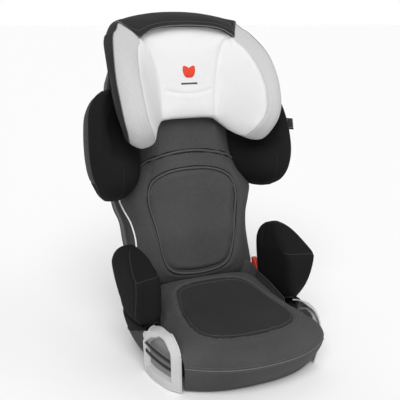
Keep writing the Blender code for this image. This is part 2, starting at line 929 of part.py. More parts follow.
def headrest_cap(frame):
    """The dark textile roof over the top of the headrest, lower at its two ends."""
    right = [
        (
            0.000,
            [(-0.0960, 0.6030), (-0.089, 0.6170), (0.6470, 0.6430),
             (0.6260, 0.6260), (-0.058, 0.6000)],
        ),
        (
            0.050,
            [(-0.0960, 0.6010), (-0.089, 0.6145), (0.6445, 0.6405),
             (0.6240, 0.6240), (-0.058, 0.5980)],
        ),
        (
            0.082,
            [(-0.0960, 0.5950), (-0.089, 0.6080), (0.6390, 0.6350),
             (0.6200, 0.6200), (-0.058, 0.5945)],
        ),
        (
            0.107,
            [(-0.0955, 0.5795), (-0.088, 0.5960), (0.6320, 0.6280),
             (0.6130, 0.6100), (-0.064, 0.5795)],
        ),
        (
            0.116,
            [(-0.0830, 0.5900), (-0.077, 0.6020), (0.6290, 0.6250),
             (0.6110, 0.6080), (-0.060, 0.5900)],
        ),
        (
            0.126,
            [(-0.0690, 0.6040), (-0.065, 0.6110), (0.6265, 0.6225),
             (0.6100, 0.6085), (-0.054, 0.6040)],
        ),
        (
            0.137,
            [(-0.0520, 0.6190), (-0.050, 0.6215), (0.6245, 0.6200),
             (0.6110, 0.6110), (-0.046, 0.6185)],
        ),
    ]
    stations = []
    for x, (edge, brow, roof, under, lip) in right:
        corners = [
            edge,
            brow,
            (-0.036, roof[0]),
            (0.024, roof[1]),
            (0.025, under[0]),
            (-0.040, under[1]),
            lip,
        ]
        stations.append((x, corners))
    stations = [(-x, corners) for x, corners in stations[:0:-1]] + stations
    place(across("headrest_cap", stations, 0.004), "charcoal_fabric", frame)


def carriage(frame):
    """The plate that slides in the rails, with a window for the bolt and two screw bosses."""
    low, high = CARRIAGE_FACES
    plate_box = box(
        "headrest_carriage",
        (-CARRIAGE_HALF, low, CARRIAGE_ENDS[0]),
        (CARRIAGE_HALF, high, CARRIAGE_ENDS[1] - 0.012),
    )
    window = box(
        "bolt_window",
        (-0.0125, 0.0, BOLT_Z - BOLT_HALF_HEIGHT - 0.0006),
        (0.0125, 0.03, BOLT_Z + BOLT_HALF_HEIGHT + 0.0006),
    )
    top = box(
        "carriage_shoulder",
        (-0.054, low, 0.5800),
        (0.054, high, 0.6000),
    )
    carve(plate_box, [top], frame, "UNION")
    carve(plate_box, [window], frame)
    for side, label in SIDES:
        boss = rod(
            f"boss_{label}",
            (side * 0.046, high - 0.002, 0.592),
            (side * 0.046, APRON_FACES[0] - GAP, 0.592),
            0.0050,
        )
        carve(plate_box, [boss], frame, "UNION")
        hole = rod(
            f"boss_hole_{label}", (side * 0.046, 0.0, 0.592), (side * 0.046, 0.05, 0.592), 0.0023
        )
        carve(plate_box, [hole], frame)
        screw = rod(
            f"carriage_screw_{label}",
            (side * 0.046, high, 0.592),
            (side * 0.046, APRON_FACES[1] + 0.003, 0.592),
            0.0020,
        )
        head = rod(
            f"screw_head_{label}",
            (side * 0.046, APRON_FACES[1] + GAP, 0.592),
            (side * 0.046, APRON_FACES[1] + 0.0030, 0.592),
            0.0042,
            20,
            0.0034,
        )
        carve(screw, [head], frame, "UNION")
        place(screw, "steel", frame)
    place(plate_box, "shell_plastic", frame)


def shoulder_belt_guide(frame, side, label):
    """The red hook behind the wing that the shoulder belt threads through, its mouth outwards."""
    outline = [(-0.022, 0.442), (-0.022, 0.394), (-0.016, 0.388), (0.016, 0.388), (0.022, 0.394)]
    outline += [(0.022, 0.414), (0.014, 0.414), (0.014, 0.400), (0.010, 0.397), (-0.009, 0.397)]
    outline += [(-0.013, 0.401), (-0.013, 0.430), (0.022, 0.430), (0.022, 0.442)]
    slant = math.radians(-34.0)
    heading = slant if side > 0 else math.pi - slant
    at = (side * 0.1320, -0.0636, 0.0)
    hook = plate(f"shoulder_belt_guide_{label}", outline, 0.004, at, heading)
    place(hook, "red_plastic", frame)


def lock_parts(head_frame):
    """The lever on the bridge, the pull rod down the carriage, and the bolt in the rack's notch."""
    lever_frame = empty("lever_frame", LEVER_PIN, head_frame)
    knuckle = rod("release_lever", (-LEVER_HALF, 0, 0), (LEVER_HALF, 0, 0), 0.0042, 20)
    paddle = box("paddle", (-LEVER_HALF, 0.0, -0.042), (LEVER_HALF, 0.004, 0.0), 0.0012)
    bore = rod("lever_bore", (-0.05, 0, 0), (0.05, 0, 0), PIN_RADIUS + 0.0003)
    carve(knuckle, [paddle], lever_frame, "UNION")
    carve(knuckle, [bore], lever_frame)
    place(knuckle, "light_plastic", lever_frame)
    pin = rod(
        "lever_pin",
        (-0.0335, LEVER_PIN.y, LEVER_PIN.z),
        (0.0335, LEVER_PIN.y, LEVER_PIN.z),
        PIN_RADIUS,
    )
    place(pin, "steel", head_frame)
    bolt_frame = empty("bolt_frame", (0.0, 0.0, 0.0), head_frame)
    bolt = box(
        "lock_bolt",
        (-0.0115, 0.0030, BOLT_Z - BOLT_HALF_HEIGHT),
        (0.0115, 0.0152, BOLT_Z + BOLT_HALF_HEIGHT),
        0.0006,
    )
    place(bolt, "steel", bolt_frame)
    rod_frame = empty("rod_frame", (0.0, 0.0, 0.0), head_frame)
    strip = box(
        "pull_rod",
        (-0.0050, CARRIAGE_FACES[1] + GAP, BOLT_Z + BOLT_HALF_HEIGHT + 0.0012),
        (0.0050, CARRIAGE_FACES[1] + 0.0024, 0.590),
        0.0003,
    )
    place(strip, "steel", rod_frame)


def make_headrest(frame):
    headrest_shell(frame)
    headrest_bridge(frame)
    center_pad(frame)
    headrest_cap(frame)
    carriage(frame)
    for side, label in SIDES:
        wing_pad(frame, side, label)
        side_trim(frame, side, label)
        shoulder_belt_guide(frame, side, label)
    lock_parts(frame)


def main():
    start()
    make_base()
    back_frame = empty("back_frame", HINGE, None, -RECLINE)
    make_backrest(back_frame)
    head_frame = empty("head_frame", (0.0, 0.0, 0.0), back_frame)
    make_headrest(head_frame)


main()
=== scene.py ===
"""Looks of a high-back booster seat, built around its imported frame.

Pieces of the back and of the headrest are drawn in the back frame: x across, t through the
thickness (towards the rear), s up the back from the recline axle."""

import math

import bmesh
import bpy
import numpy as np
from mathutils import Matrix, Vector, kdtree

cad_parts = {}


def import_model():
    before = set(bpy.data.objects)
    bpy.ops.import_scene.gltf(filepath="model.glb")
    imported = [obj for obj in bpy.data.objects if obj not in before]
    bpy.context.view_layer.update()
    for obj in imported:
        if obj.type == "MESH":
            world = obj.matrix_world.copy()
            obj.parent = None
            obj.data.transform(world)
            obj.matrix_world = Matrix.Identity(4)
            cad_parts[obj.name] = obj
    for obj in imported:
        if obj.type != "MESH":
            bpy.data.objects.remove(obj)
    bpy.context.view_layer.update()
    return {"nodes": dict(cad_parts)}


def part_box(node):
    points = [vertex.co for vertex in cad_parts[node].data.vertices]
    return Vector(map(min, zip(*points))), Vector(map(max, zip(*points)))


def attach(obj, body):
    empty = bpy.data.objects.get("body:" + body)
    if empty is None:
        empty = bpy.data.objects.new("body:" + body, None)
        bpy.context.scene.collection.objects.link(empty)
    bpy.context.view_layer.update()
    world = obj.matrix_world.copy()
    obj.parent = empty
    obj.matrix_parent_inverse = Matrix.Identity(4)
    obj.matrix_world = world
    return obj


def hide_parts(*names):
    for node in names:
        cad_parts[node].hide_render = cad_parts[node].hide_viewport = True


RECLINE = math.radians(11.0)
HINGE = np.array((0.0, 0.115, 0.057))
SIDES = ((-1, "left"), (1, "right"))


# ---------------------------------------------------------------- points and curves

def back(x, t, s):
    """A point of the back frame, in the row frame."""
    sine, cosine = math.sin(RECLINE), math.cos(RECLINE)
    return HINGE + np.array((x, s * sine + t * cosine, s * cosine - t * sine))


def step(x, t, s):
    """A step in the back frame, as a step in the row frame."""
    return back(x, t, s) - back(0, 0, 0)


def spline(points, count, closed=False):
    """A smooth curve through the points, read at `count` even steps of the points' own index."""
    points = np.asarray(points, float)
    last = len(points) if closed else len(points) - 1
    at = np.linspace(0, last, count, endpoint=not closed)
    cell = np.minimum(at.astype(int), last - 1)
    f = (at - cell).reshape((-1,) + (1,) * (points.ndim - 1))

    def pick(index):
        if closed:
            return points[index % len(points)]
        low = 2 * points[0] - points[1]
        high = 2 * points[-1] - points[-2]
        padded = np.concatenate([low[None], points, high[None]])
        return padded[np.clip(index + 1, 0, len(padded) - 1)]

    a, b, c, d = (pick(cell + k) for k in (-1, 0, 1, 2))
    return 0.5 * (
        2 * b + (c - a) * f + (2 * a - 5 * b + 4 * c - d) * f**2 + (3 * b - a - 3 * c + d) * f**3
    )


def resample(points, count, closed=False):
    """Points at even distances along a polyline."""
    points = np.asarray(points, float)
    if closed:
        points = np.concatenate([points, points[:1]])
    steps = np.linalg.norm(np.diff(points, axis=0), axis=1)
    along = np.concatenate([[0], np.cumsum(steps)])
    at = np.linspace(0, along[-1], count, endpoint=not closed)
    return np.stack([np.interp(at, along, points[:, k]) for k in range(points.shape[1])], axis=1)


def dense(rows, columns_per_cell, rows_per_cell, closed=False):
    """A fine grid of points through a coarse one: rows x columns x 3."""
    rows = np.asarray(rows, float)
    cells = rows.shape[1] if closed else rows.shape[1] - 1
    wide = cells * columns_per_cell + (0 if closed else 1)
    across = spline(np.swapaxes(rows, 0, 1), wide, closed)
    return spline(np.swapaxes(across, 0, 1), (len(rows) - 1) * rows_per_cell + 1)


def grown_ring(right, middle, grow):
    """A smooth ring through a right half and its mirror image, moved away from its middle by `grow`."""
    ring = right + [(-x, y) for x, y in right[-2:0:-1]]
    path = spline(ring, 300, closed=True)
    away = path - np.array(middle)
    length = np.linalg.norm(away, axis=1)[:, None]
    return np.array(middle) + away * (1 + grow / length)


def mirrored(columns):
    """A row of points from the right half, with its left half put before it."""
    left = [(-x, *rest) for x, *rest in columns[:0:-1]]
    return left + list(columns)


# ---------------------------------------------------------------- meshes

def linked(name, mesh):
    """A new object of the scene that shows the mesh."""
    piece = bpy.data.objects.new(name, mesh)
    bpy.context.scene.collection.objects.link(piece)
    return piece


def grid_mesh(name, grid, closed=False, caps=False):
    """A quad mesh of a grid of points. `closed` joins each row's ends, and `caps` closes the two end rows."""
    rows, columns = grid.shape[:2]
    mesh = bpy.data.meshes.new(name)
    faces = []
    for r in range(rows - 1):
        for c in range(columns if closed else columns - 1):
            d = (c + 1) % columns
            faces.append((r * columns + c, r * columns + d, (r + 1) * columns + d, (r + 1) * columns + c))
    if caps:
        faces.append(tuple(range(columns))[::-1])
        faces.append(tuple((rows - 1) * columns + c for c in range(columns)))
    mesh.from_pydata([tuple(p) for p in grid.reshape(-1, 3)], [], faces)
    mesh.update()
    mesh.shade_smooth()
    return linked(name, mesh)


def coordinates(piece):
    flat = np.empty(len(piece.data.vertices) * 3)
    piece.data.vertices.foreach_get("co", flat)
    return flat.reshape(-1, 3)


def set_coordinates(piece, points):
    piece.data.vertices.foreach_set("co", np.asarray(points, float).ravel())
    piece.data.update()


def normals(piece):
    flat = np.empty(len(piece.data.vertices) * 3)
    piece.data.vertices.foreach_get("normal", flat)
    return flat.reshape(-1, 3)


def face_out(piece, outside):
    """Turns the faces so that they look towards the outside point's side."""
    centre = coordinates(piece).mean(0)
    way = np.asarray(outside) - centre
    if (normals(piece) @ way).sum() < 0:
        piece.data.flip_normals()
    return piece


def closed_up(piece):
    """Makes every face of a closed mesh look outwards."""
    bm = bmesh.new()
    bm.from_mesh(piece.data)
    bmesh.ops.recalc_face_normals(bm, faces=bm.faces)
    bm.to_mesh(piece.data)
    bm.free()
    piece.data.shade_smooth()
    return piece


def tree_of(points):
    """A search tree that finds the nearest of the points."""
    tree = kdtree.KDTree(len(points))
    for index, p in enumerate(points):
        tree.insert(p, index)
    tree.balance()
    return tree


def distance_to(points, path):
    """Each point's distance to the nearest of the path's points."""
    tree = tree_of(path)
    return np.array([tree.find(p)[2] for p in points])


def groove(piece, paths, width=0.003, depth=0.0015, roll=0.0):
    """Sinks the surface along seams. `roll` lifts it again just beside them, as stuffing does."""
    points = coordinates(piece)
    out = normals(piece)
    nearest = np.full(len(points), 1.0)
    for path in paths:
        nearest = np.minimum(nearest, distance_to(points, resample(path, 260)))
    sunk = -depth * np.exp(-((nearest / width) ** 2))
    lifted = roll * np.exp(-(((nearest - 3.2 * width) / (1.8 * width)) ** 2))
    set_coordinates(piece, points + out * (sunk + lifted)[:, None])


def snapped(piece, path, lift=0.0, count=200, closed=False):
    """The path laid onto the piece's surface, and `lift` above it."""
    points = coordinates(piece)
    out = normals(piece)
    tree = tree_of(points)
    laid = []
    for p in resample(path, count, closed):
        near = tree.find_n(p, 4)
        weights = np.array([1 / (d + 1e-5) for _, _, d in near])
        weights /= weights.sum()
        where = sum(w * points[i] for w, (_, i, _) in zip(weights, near))
        normal = sum(w * out[i] for w, (_, i, _) in zip(weights, near))
        normal /= np.linalg.norm(normal)
        laid.append(where + normal * lift)
    return smooth_line(laid, 2)


def smooth_line(path, times):
    """The open path with its small bends evened out."""
    line = np.array(path)
    for _ in range(times):
        line[1:-1] = (line[:-2] + 2 * line[1:-1] + line[2:]) / 4
    return line


def pins(grid, start=0, end=0, left=0, right=0):
    """Weights that hold this many of a grid's first and last rows and columns while it swells."""
    rows, columns = grid.shape[:2]
    held = np.zeros((rows, columns))
    held[:start] = 1
    held[rows - end :] = 1
    held[:, :left] = 1
    held[:, columns - right :] = 1
    return held


def swell(piece, pinned, pressure=4.0, cap=0.004, frames=12, stiff=12.0):
    """Lets a cover swell as stuffed cloth does, held where it is pinned, and keeps the shape."""
    rest = coordinates(piece)
    double = linked(piece.name + "_cloth", piece.data.copy())
    group = double.vertex_groups.new(name="pinned")
    for index, weight in enumerate(pinned):
        if weight > 0:
            group.add([index], float(weight), "REPLACE")
    cloth = double.modifiers.new("cloth", "CLOTH")
    settings = cloth.settings
    settings.quality = 5
    settings.mass = 0.3
    settings.tension_stiffness = stiff
    settings.compression_stiffness = stiff
    settings.shear_stiffness = 5.0
    settings.bending_stiffness = 0.5
    settings.use_pressure = True
    settings.uniform_pressure_force = pressure
    settings.vertex_group_mass = "pinned"
    settings.effector_weights.gravity = 0.0
    cloth.collision_settings.use_collision = False
    cloth.collision_settings.use_self_collision = False
    scene = bpy.context.scene
    scene.frame_start = 1
    scene.frame_end = frames
    cloth.point_cache.frame_start = 1
    cloth.point_cache.frame_end = frames
    for frame_number in range(1, frames + 1):
        scene.frame_set(frame_number)
    graph = bpy.context.evaluated_depsgraph_get()
    result = double.evaluated_get(graph).to_mesh()
    flat = np.empty(len(result.vertices) * 3)
    result.vertices.foreach_get("co", flat)
    moved = flat.reshape(-1, 3) - rest
    double.evaluated_get(graph).to_mesh_clear()
    mesh = double.data
    bpy.data.objects.remove(double)
    bpy.data.meshes.remove(mesh)
    scene.frame_set(1)
    length = np.linalg.norm(moved, axis=1)
    keep = np.minimum(1.0, cap / np.maximum(length, 1e-9))
    set_coordinates(piece, rest + moved * keep[:, None])


def tube(name, path, radius, sides=8, closed=False, flat=1.0, up=None):
    """A round or flattened bead along a path."""
    path = np.asarray(path, float)
    ahead = np.roll(path, -1, 0) - np.roll(path, 1, 0)
    if not closed:
        ahead[0] = path[1] - path[0]
        ahead[-1] = path[-1] - path[-2]
    ahead /= np.linalg.norm(ahead, axis=1)[:, None]
    side = np.array(up if up is not None else (0.3, 0.9, 0.31))
    rings = []
    for p, a in zip(path, ahead):
        side = side - a * (side @ a)
        side = side / np.linalg.norm(side)
        other = np.cross(a, side)
        turn = np.linspace(0, 2 * math.pi, sides, endpoint=False)
        rings.append(p + radius * (np.cos(turn)[:, None] * side * flat + np.sin(turn)[:, None] * other))
    grid = np.array(rings)
    if closed:
        grid = np.concatenate([grid, grid[:1]])
    piece = grid_mesh(name, grid, closed=True, caps=not closed)
    return closed_up(piece)


def stitches(name, path, pitch=0.0042, length=0.0029, radius=0.00038):
    """A row of threads that stand out of the cloth along a path."""
    path = np.asarray(path, float)
    total = np.linalg.norm(np.diff(path, axis=0), axis=1).sum()
    count = max(2, int(total / pitch))
    line = resample(path, count * 8 + 1)
    verts = []
    faces = []
    sides = 5
    half = max(1, int(round(8 * length / pitch / 2)))
    for k in range(count):
        middle = k * 8 + 4
        run = line[middle - half : middle + half + 1]
        ahead = run[-1] - run[0]
        ahead /= np.linalg.norm(ahead)
        side = np.cross(ahead, (0.21, 0.35, 0.91))
        side /= np.linalg.norm(side)
        other = np.cross(ahead, side)
        first = len(verts)
        for j, p in enumerate(run):
            share = abs(2 * j / (len(run) - 1) - 1)
            r = radius * (1.0 - 0.45 * share**3)
            for q in range(sides):
                turn = 2 * math.pi * q / sides
                verts.append(tuple(p + r * (math.cos(turn) * side + math.sin(turn) * other)))
        rings = len(run)
        for j in range(rings - 1):
            for q in range(sides):
                n = (q + 1) % sides
                low, high = first + j * sides, first + (j + 1) * sides
                faces.append((low + q, low + n, high + n, high + q))
        faces.append(tuple(first + q for q in range(sides))[::-1])
        faces.append(tuple(first + (rings - 1) * sides + q for q in range(sides)))
    mesh = bpy.data.meshes.new(name)
    mesh.from_pydata(verts, [], faces)
    mesh.update()
    return closed_up(linked(name, mesh))


# ---------------------------------------------------------------- materials

WAVE_BANDS = 6.3  # divides a number of ribs down to the wave texture's own scale
FIBRE_SHINE = 0.08  # how much cloth mirrors, against 0.5 for a plain dielectric


class Nodes:
    """A small helper that adds and joins shader nodes."""

    def __init__(self, name):
        self.material = bpy.data.materials.new(name)
        self.material.use_nodes = True
        self.tree = self.material.node_tree
        self.shader = self.tree.nodes["Principled BSDF"]
        self.place = self.add("ShaderNodeTexCoord").outputs["Object"]

    def add(self, kind, **settings):
        node = self.tree.nodes.new(kind)
        for key, value in settings.items():
            setattr(node, key, value)
        return node

    def join(self, a, b):
        self.tree.links.new(a, b)

    def noise(self, scale, detail=3.0, stretch=None, roughness=0.5):
        node = self.add("ShaderNodeTexNoise")
        node.inputs["Scale"].default_value = scale
        node.inputs["Detail"].default_value = detail
        node.inputs["Roughness"].default_value = roughness
        self.join(self.stretched(stretch), node.inputs["Vector"])
        return node.outputs["Fac"]

    def stretched(self, stretch):
        if stretch is None:
            return self.place
        mapping = self.add("ShaderNodeMapping")
        mapping.inputs["Scale"].default_value = stretch
        self.join(self.place, mapping.inputs["Vector"])
        return mapping.outputs["Vector"]

    def wave(self, scale, direction, distortion=0.4, stretch=None):
        node = self.add("ShaderNodeTexWave", wave_type="BANDS", bands_direction=direction)
        node.inputs["Scale"].default_value = scale
        node.inputs["Distortion"].default_value = distortion
        node.inputs["Detail"].default_value = 1.0
        node.inputs["Detail Scale"].default_value = 1.5
        self.join(self.stretched(stretch), node.inputs["Vector"])
        return node.outputs["Fac"]

    def math(self, operation, a, b):
        node = self.add("ShaderNodeMath", operation=operation)
        for socket, value in zip(node.inputs, (a, b)):
            if hasattr(value, "links"):
                self.join(value, socket)
            else:
                socket.default_value = value
        return node.outputs[0]

    def ramp(self, value, stops):
        node = self.add("ShaderNodeValToRGB")
        elements = node.color_ramp.elements
        while len(elements) < len(stops):
            elements.new(0.5)
        for element, (at, color) in zip(elements, stops):
            element.position = at
            element.color = (*color, 1.0)
        self.join(value, node.inputs["Fac"])
        return node.outputs["Color"]

    def spread(self, value, low, high):
        node = self.add("ShaderNodeMapRange")
        node.inputs["To Min"].default_value = low
        node.inputs["To Max"].default_value = high
        self.join(value, node.inputs["Value"])
        return node.outputs["Result"]

    def bump(self, height, strength, distance, under=None):
        node = self.add("ShaderNodeBump")
        node.inputs["Strength"].default_value = strength
        node.inputs["Distance"].default_value = distance
        self.join(height, node.inputs["Height"])
        if under is not None:
            self.join(under, node.inputs["Normal"])
        self.join(node.outputs["Normal"], self.shader.inputs["Normal"])
        return node.outputs["Normal"]

    def set(self, **values):
        for key, value in values.items():
            self.shader.inputs[key.replace("_", " ")].default_value = value


def grey(value):
    return (value, value, value)


def shades(color, spread):
    """A darker, a middle and a lighter version of a colour."""
    return [tuple(min(1.0, c * k) for c in color) for k in (1 - spread, 1.0, 1 + spread)]


def knit(name, color, melange=0.12, rib=520.0, bump=0.35, sheen=0.25, rough=0.88, speck=900.0):
    """A jersey: fine wales and courses, yarn-to-yarn colour change, a soft sheen."""
    n = Nodes(name)
    wales = n.wave(rib / WAVE_BANDS, "X", 0.5)
    courses = n.wave(rib / WAVE_BANDS, "Z", 0.7, stretch=(1.0, 1.0, 1.35))
    weave = n.math("MULTIPLY", wales, courses)
    yarn = n.noise(speck, 4.0, stretch=(1.0, 1.0, 0.45), roughness=0.65)
    broad = n.noise(9.0, 3.0)
    mixed = n.math("ADD", n.math("MULTIPLY", yarn, 0.72), n.math("MULTIPLY", broad, 0.28))
    dark, middle, light = shades(color, melange)
    n.join(n.ramp(mixed, ((0.30, dark), (0.50, middle), (0.72, light))), n.shader.inputs["Base Color"])
    n.join(n.spread(yarn, rough - 0.06, min(1.0, rough + 0.08)), n.shader.inputs["Roughness"])
    height = n.math("ADD", n.math("MULTIPLY", weave, 0.6), n.math("MULTIPLY", yarn, 0.4))
    puckers = n.bump(n.noise(34.0, 2.0), 0.35, 0.0035)
    n.bump(height, bump, 0.0006, puckers)
    n.set(Sheen_Weight=sheen, Sheen_Roughness=0.45, Specular_IOR_Level=FIBRE_SHINE)
    return n.material


def mesh_cloth(name, color, pitch=0.0030, melange=0.2, bump=0.6, sheen=0.2):
    """A spacer mesh: rows of small dark eyelets in a brighter face."""
    n = Nodes(name)
    cells = n.add("ShaderNodeTexVoronoi", feature="F1", distance="EUCLIDEAN")
    cells.inputs["Scale"].default_value = 1.0 / pitch
    cells.inputs["Randomness"].default_value = 0.9
    n.join(n.place, cells.inputs["Vector"])
    yarn = n.noise(700.0, 3.0)
    dark, middle, light = shades(color, melange)
    face = n.ramp(cells.outputs["Distance"], ((0.18, dark), (0.40, middle), (0.75, light)))
    n.join(face, n.shader.inputs["Base Color"])
    n.join(n.spread(yarn, 0.82, 0.96), n.shader.inputs["Roughness"])
    height = n.math("ADD", cells.outputs["Distance"], n.math("MULTIPLY", yarn, 0.25))
    puckers = n.bump(n.noise(30.0, 2.0), 0.30, 0.0035)
    n.bump(height, bump, 0.0006, puckers)
    n.set(Sheen_Weight=sheen, Sheen_Roughness=0.5, Specular_IOR_Level=FIBRE_SHINE)
    return n.material


def plastic(name, color, rough=0.42, grain=1400.0, bump=0.12, worn=0.06):
    """Moulded plastic with a fine eroded grain and slightly uneven gloss."""
    n = Nodes(name)
    fine = n.noise(grain, 2.0)
    broad = n.noise(14.0, 4.0)
    dark, middle, light = shades(color, worn)
    n.join(n.ramp(broad, ((0.3, dark), (0.5, middle), (0.7, light))), n.shader.inputs["Base Color"])
    n.join(n.spread(broad, rough - 0.06, rough + 0.08), n.shader.inputs["Roughness"])
    n.bump(fine, bump, 0.0002)
    n.set(Specular_IOR_Level=0.45)
    return n.material


def metal(name, color, rough=0.32):
    """Brushed steel with long fine scratches."""
    n = Nodes(name)
    brushed = n.noise(260.0, 3.0, stretch=(1.0, 1.0, 0.08))
    darker = tuple(c * 0.85 for c in color)
    n.join(n.ramp(brushed, ((0.3, darker), (0.7, color))), n.shader.inputs["Base Color"])
    n.join(n.spread(brushed, rough - 0.08, rough + 0.12), n.shader.inputs["Roughness"])
    n.bump(brushed, 0.08, 0.0002)
    n.set(Metallic=1.0)
    return n.material


def make_materials():
    return {
        "white": knit("white_jersey", grey(0.66), melange=0.04, bump=0.25, sheen=0.04, rough=0.9),
        "band": mesh_cloth("grey_band_mesh", grey(0.455), pitch=0.0020, melange=0.07, bump=0.25, sheen=0.03),
        "charcoal": knit("charcoal_textile", grey(0.024), melange=0.35, bump=0.5, sheen=0.05),
        "black": knit("black_jersey", grey(0.0100), melange=0.30, bump=0.4, sheen=0.0),
        "side": mesh_cloth("side_mesh", grey(0.045), pitch=0.0024, melange=0.30, bump=0.5, sheen=0.02),
        "grey": knit("grey_melange", grey(0.058), melange=0.42, bump=0.5, sheen=0.05),
        # cord: the back's grey melange made lighter, a painted highlight on the rolled bead round the panel
        # and arch
        "cord": knit("cord_lightened_as_highlight", grey(0.078), melange=0.35, bump=0.5, sheen=0.06),
        # near-black knit for thin lines on both sides of the back's bead: painted shade of the grooves there
        "seam": knit("seam_shadow", grey(0.014), melange=0.25, bump=0.4, sheen=0.0),
        "inset": knit("inset_jersey", grey(0.026), melange=0.30, bump=0.45, sheen=0.04),
        "thread": plastic("grey_thread", grey(0.11), rough=0.7, bump=0.3),
        "dark_thread": plastic("dark_thread", grey(0.020), rough=0.75, bump=0.3),
        "white_thread": plastic("white_thread", grey(0.66), rough=0.7, bump=0.3),
        "piping": plastic("white_piping", grey(0.84), rough=0.5, bump=0.15, worn=0.02),
        "light": plastic("light_grey_plastic", grey(0.50), rough=0.38),
        # the fairing's light plastic made darker: painted shade inside its recess
        "inner": plastic("fairing_recess_painted_shade", grey(0.19), rough=0.5),
        "shell": plastic("black_plastic", grey(0.020), rough=0.48, bump=0.25),
        "rubber": plastic("black_rubber", grey(0.008), rough=0.72, bump=0.3),
        "red": plastic("red_plastic_gloss", (0.52, 0.040, 0.028), rough=0.34),
        "motif": knit("motif_red", (0.62, 0.060, 0.030), melange=0.15, bump=0.6, sheen=0.05),
        "motif_grey": knit("motif_grey", grey(0.070), melange=0.15, bump=0.6, sheen=0.05),
        "steel": metal("zinc_steel", grey(0.60)),
    }


def paint(piece, *materials):
    piece.data.materials.clear()
    for m in materials:
        piece.data.materials.append(m)
    return piece


def banded(piece, columns, fine, edges):
    """Gives each face the material of its band of columns, counted outwards from the middle one."""
    middle = columns // 2
    for polygon in piece.data.polygons:
        across = abs(polygon.index % (columns - 1) + 0.5 - middle) / fine
        polygon.material_index = sum(across >= edge for edge in edges)


def thicken(piece, thickness, offset=-1.0):
    """Gives a sheet its thickness, inwards, so that it has an inside and an edge."""
    solid = piece.modifiers.new("thickness", "SOLIDIFY")
    solid.thickness = thickness
    solid.offset = offset
    solid.use_even_offset = False
    return piece


def finished(piece, body, nodes=()):
    """Rides the piece on its body, and hides the frame's nodes that it stands for."""
    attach(piece, body)
    if nodes:
        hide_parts(*nodes)
    return piece


# ---------------------------------------------------------------- headrest

HEAD_FINE = 7
CREASE, BAND_INNER, BAND_OUTER, STRIP_REAR = 3, 6, 9, 10  # columns of the headrest's rows


def headrest_rows():
    """Rows from the cap down to the underside. Columns: the middle, the crease, the wing's inner face,
    the band's inner edge, the band, its outer edge, the strip's rear edge and the turn behind it."""
    return [
        [(0, -.078, .612), (.033, -.078, .611), (.068, -.079, .604), (.0985, -.085, .590),
         (.101, -.087, .589), (.1035, -.090, .588), (.106, -.092, .588), (.115, -.079, .600),
         (.124, -.067, .609), (.135, -.050, .619), (.148, -.036, .612), (.146, -.022, .606)],
        [(0, -.0860, .596), (.033, -.0858, .594), (.066, -.0855, .588), (.0965, -.0885, .578),
         (.100, -.0905, .576), (.104, -.0945, .573), (.1085, -.0995, .569), (.121, -.095, .579),
         (.134, -.085, .588), (.146, -.067, .601), (.160, -.050, .597), (.156, -.034, .592)],
        [(0, -.0870, .574), (.027, -.0868, .571), (.054, -.0865, .565), (.0810, -.0870, .557),
         (.090, -.0915, .5545), (.104, -.104, .552), (.1190, -.1135, .553), (.133, -.112, .561),
         (.147, -.100, .573), (.1585, -.080, .586), (.171, -.062, .584), (.166, -.045, .579)],
        [(0, -.0855, .541), (.0238, -.0853, .539), (.0476, -.0850, .535), (.0715, -.0850, .528),
         (.084, -.0905, .524), (.105, -.113, .519), (.1300, -.1405, .515), (.146, -.145, .521),
         (.162, -.138, .530), (.1740, -.119, .540), (.1815, -.098, .543), (.176, -.080, .540)],
        [(0, -.0835, .506), (.022, -.0833, .505), (.044, -.0828, .501), (.0660, -.0825, .495),
         (.080, -.0895, .491), (.104, -.117, .482), (.1345, -.1610, .472), (.151, -.1665, .475),
         (.168, -.161, .481), (.1810, -.142, .488), (.1850, -.122, .490), (.178, -.098, .489)],
        [(0, -.0810, .478), (.021, -.0808, .477), (.042, -.0800, .475), (.0632, -.0790, .470),
         (.077, -.0870, .461), (.101, -.119, .448), (.1330, -.1690, .432), (.149, -.1745, .432),
         (.166, -.170, .434), (.1795, -.1535, .439), (.1820, -.130, .442), (.174, -.103, .444)],
        [(0, -.0800, .452), (.0205, -.0798, .452), (.041, -.0788, .450), (.0620, -.0765, .446),
         (.074, -.0840, .436), (.096, -.115, .422), (.1275, -.1660, .405), (.143, -.1715, .402),
         (.160, -.168, .403), (.1755, -.1530, .409), (.1770, -.127, .414), (.169, -.099, .419)],
        [(0, -.0775, .430), (.0205, -.0773, .430), (.041, -.0765, .4285), (.0620, -.0745, .4245),
         (.073, -.0800, .4120), (.090, -.107, .3950), (.1140, -.1500, .3815), (.131, -.1560, .3755),
         (.1495, -.1560, .3765), (.1680, -.1440, .3865), (.1700, -.121, .3940), (.162, -.095, .4030)],
        [(0, -.0700, .4145), (.0205, -.0700, .4145), (.041, -.0698, .4140), (.0615, -.0690, .4110),
         (.0730, -.0720, .3990), (.0875, -.0900, .3795), (.1035, -.1190, .3645), (.121, -.1270, .3565),
         (.1395, -.1290, .3555), (.1575, -.1210, .3665), (.1605, -.105, .3770), (.152, -.087, .3890)],
        [(0, -.0560, .4125), (.0205, -.0560, .4125), (.041, -.0560, .4120), (.0605, -.0560, .4095),
         (.0730, -.0600, .3985), (.0870, -.0740, .3820), (.1035, -.0920, .3680), (.119, -.0985, .3620),
         (.134, -.100, .3625), (.1480, -.0960, .3710), (.1510, -.090, .3790), (.145, -.080, .3900)],
    ]


def head_curve(column, first, last):
    """One column of the headrest's rows, as a smooth line in the row frame."""
    rows = headrest_rows()[first : last + 1]
    line = spline([row[column] for row in rows], 90)
    return [np.array([back(side * x, t, s) for x, t, s in line]) for side, _ in SIDES]


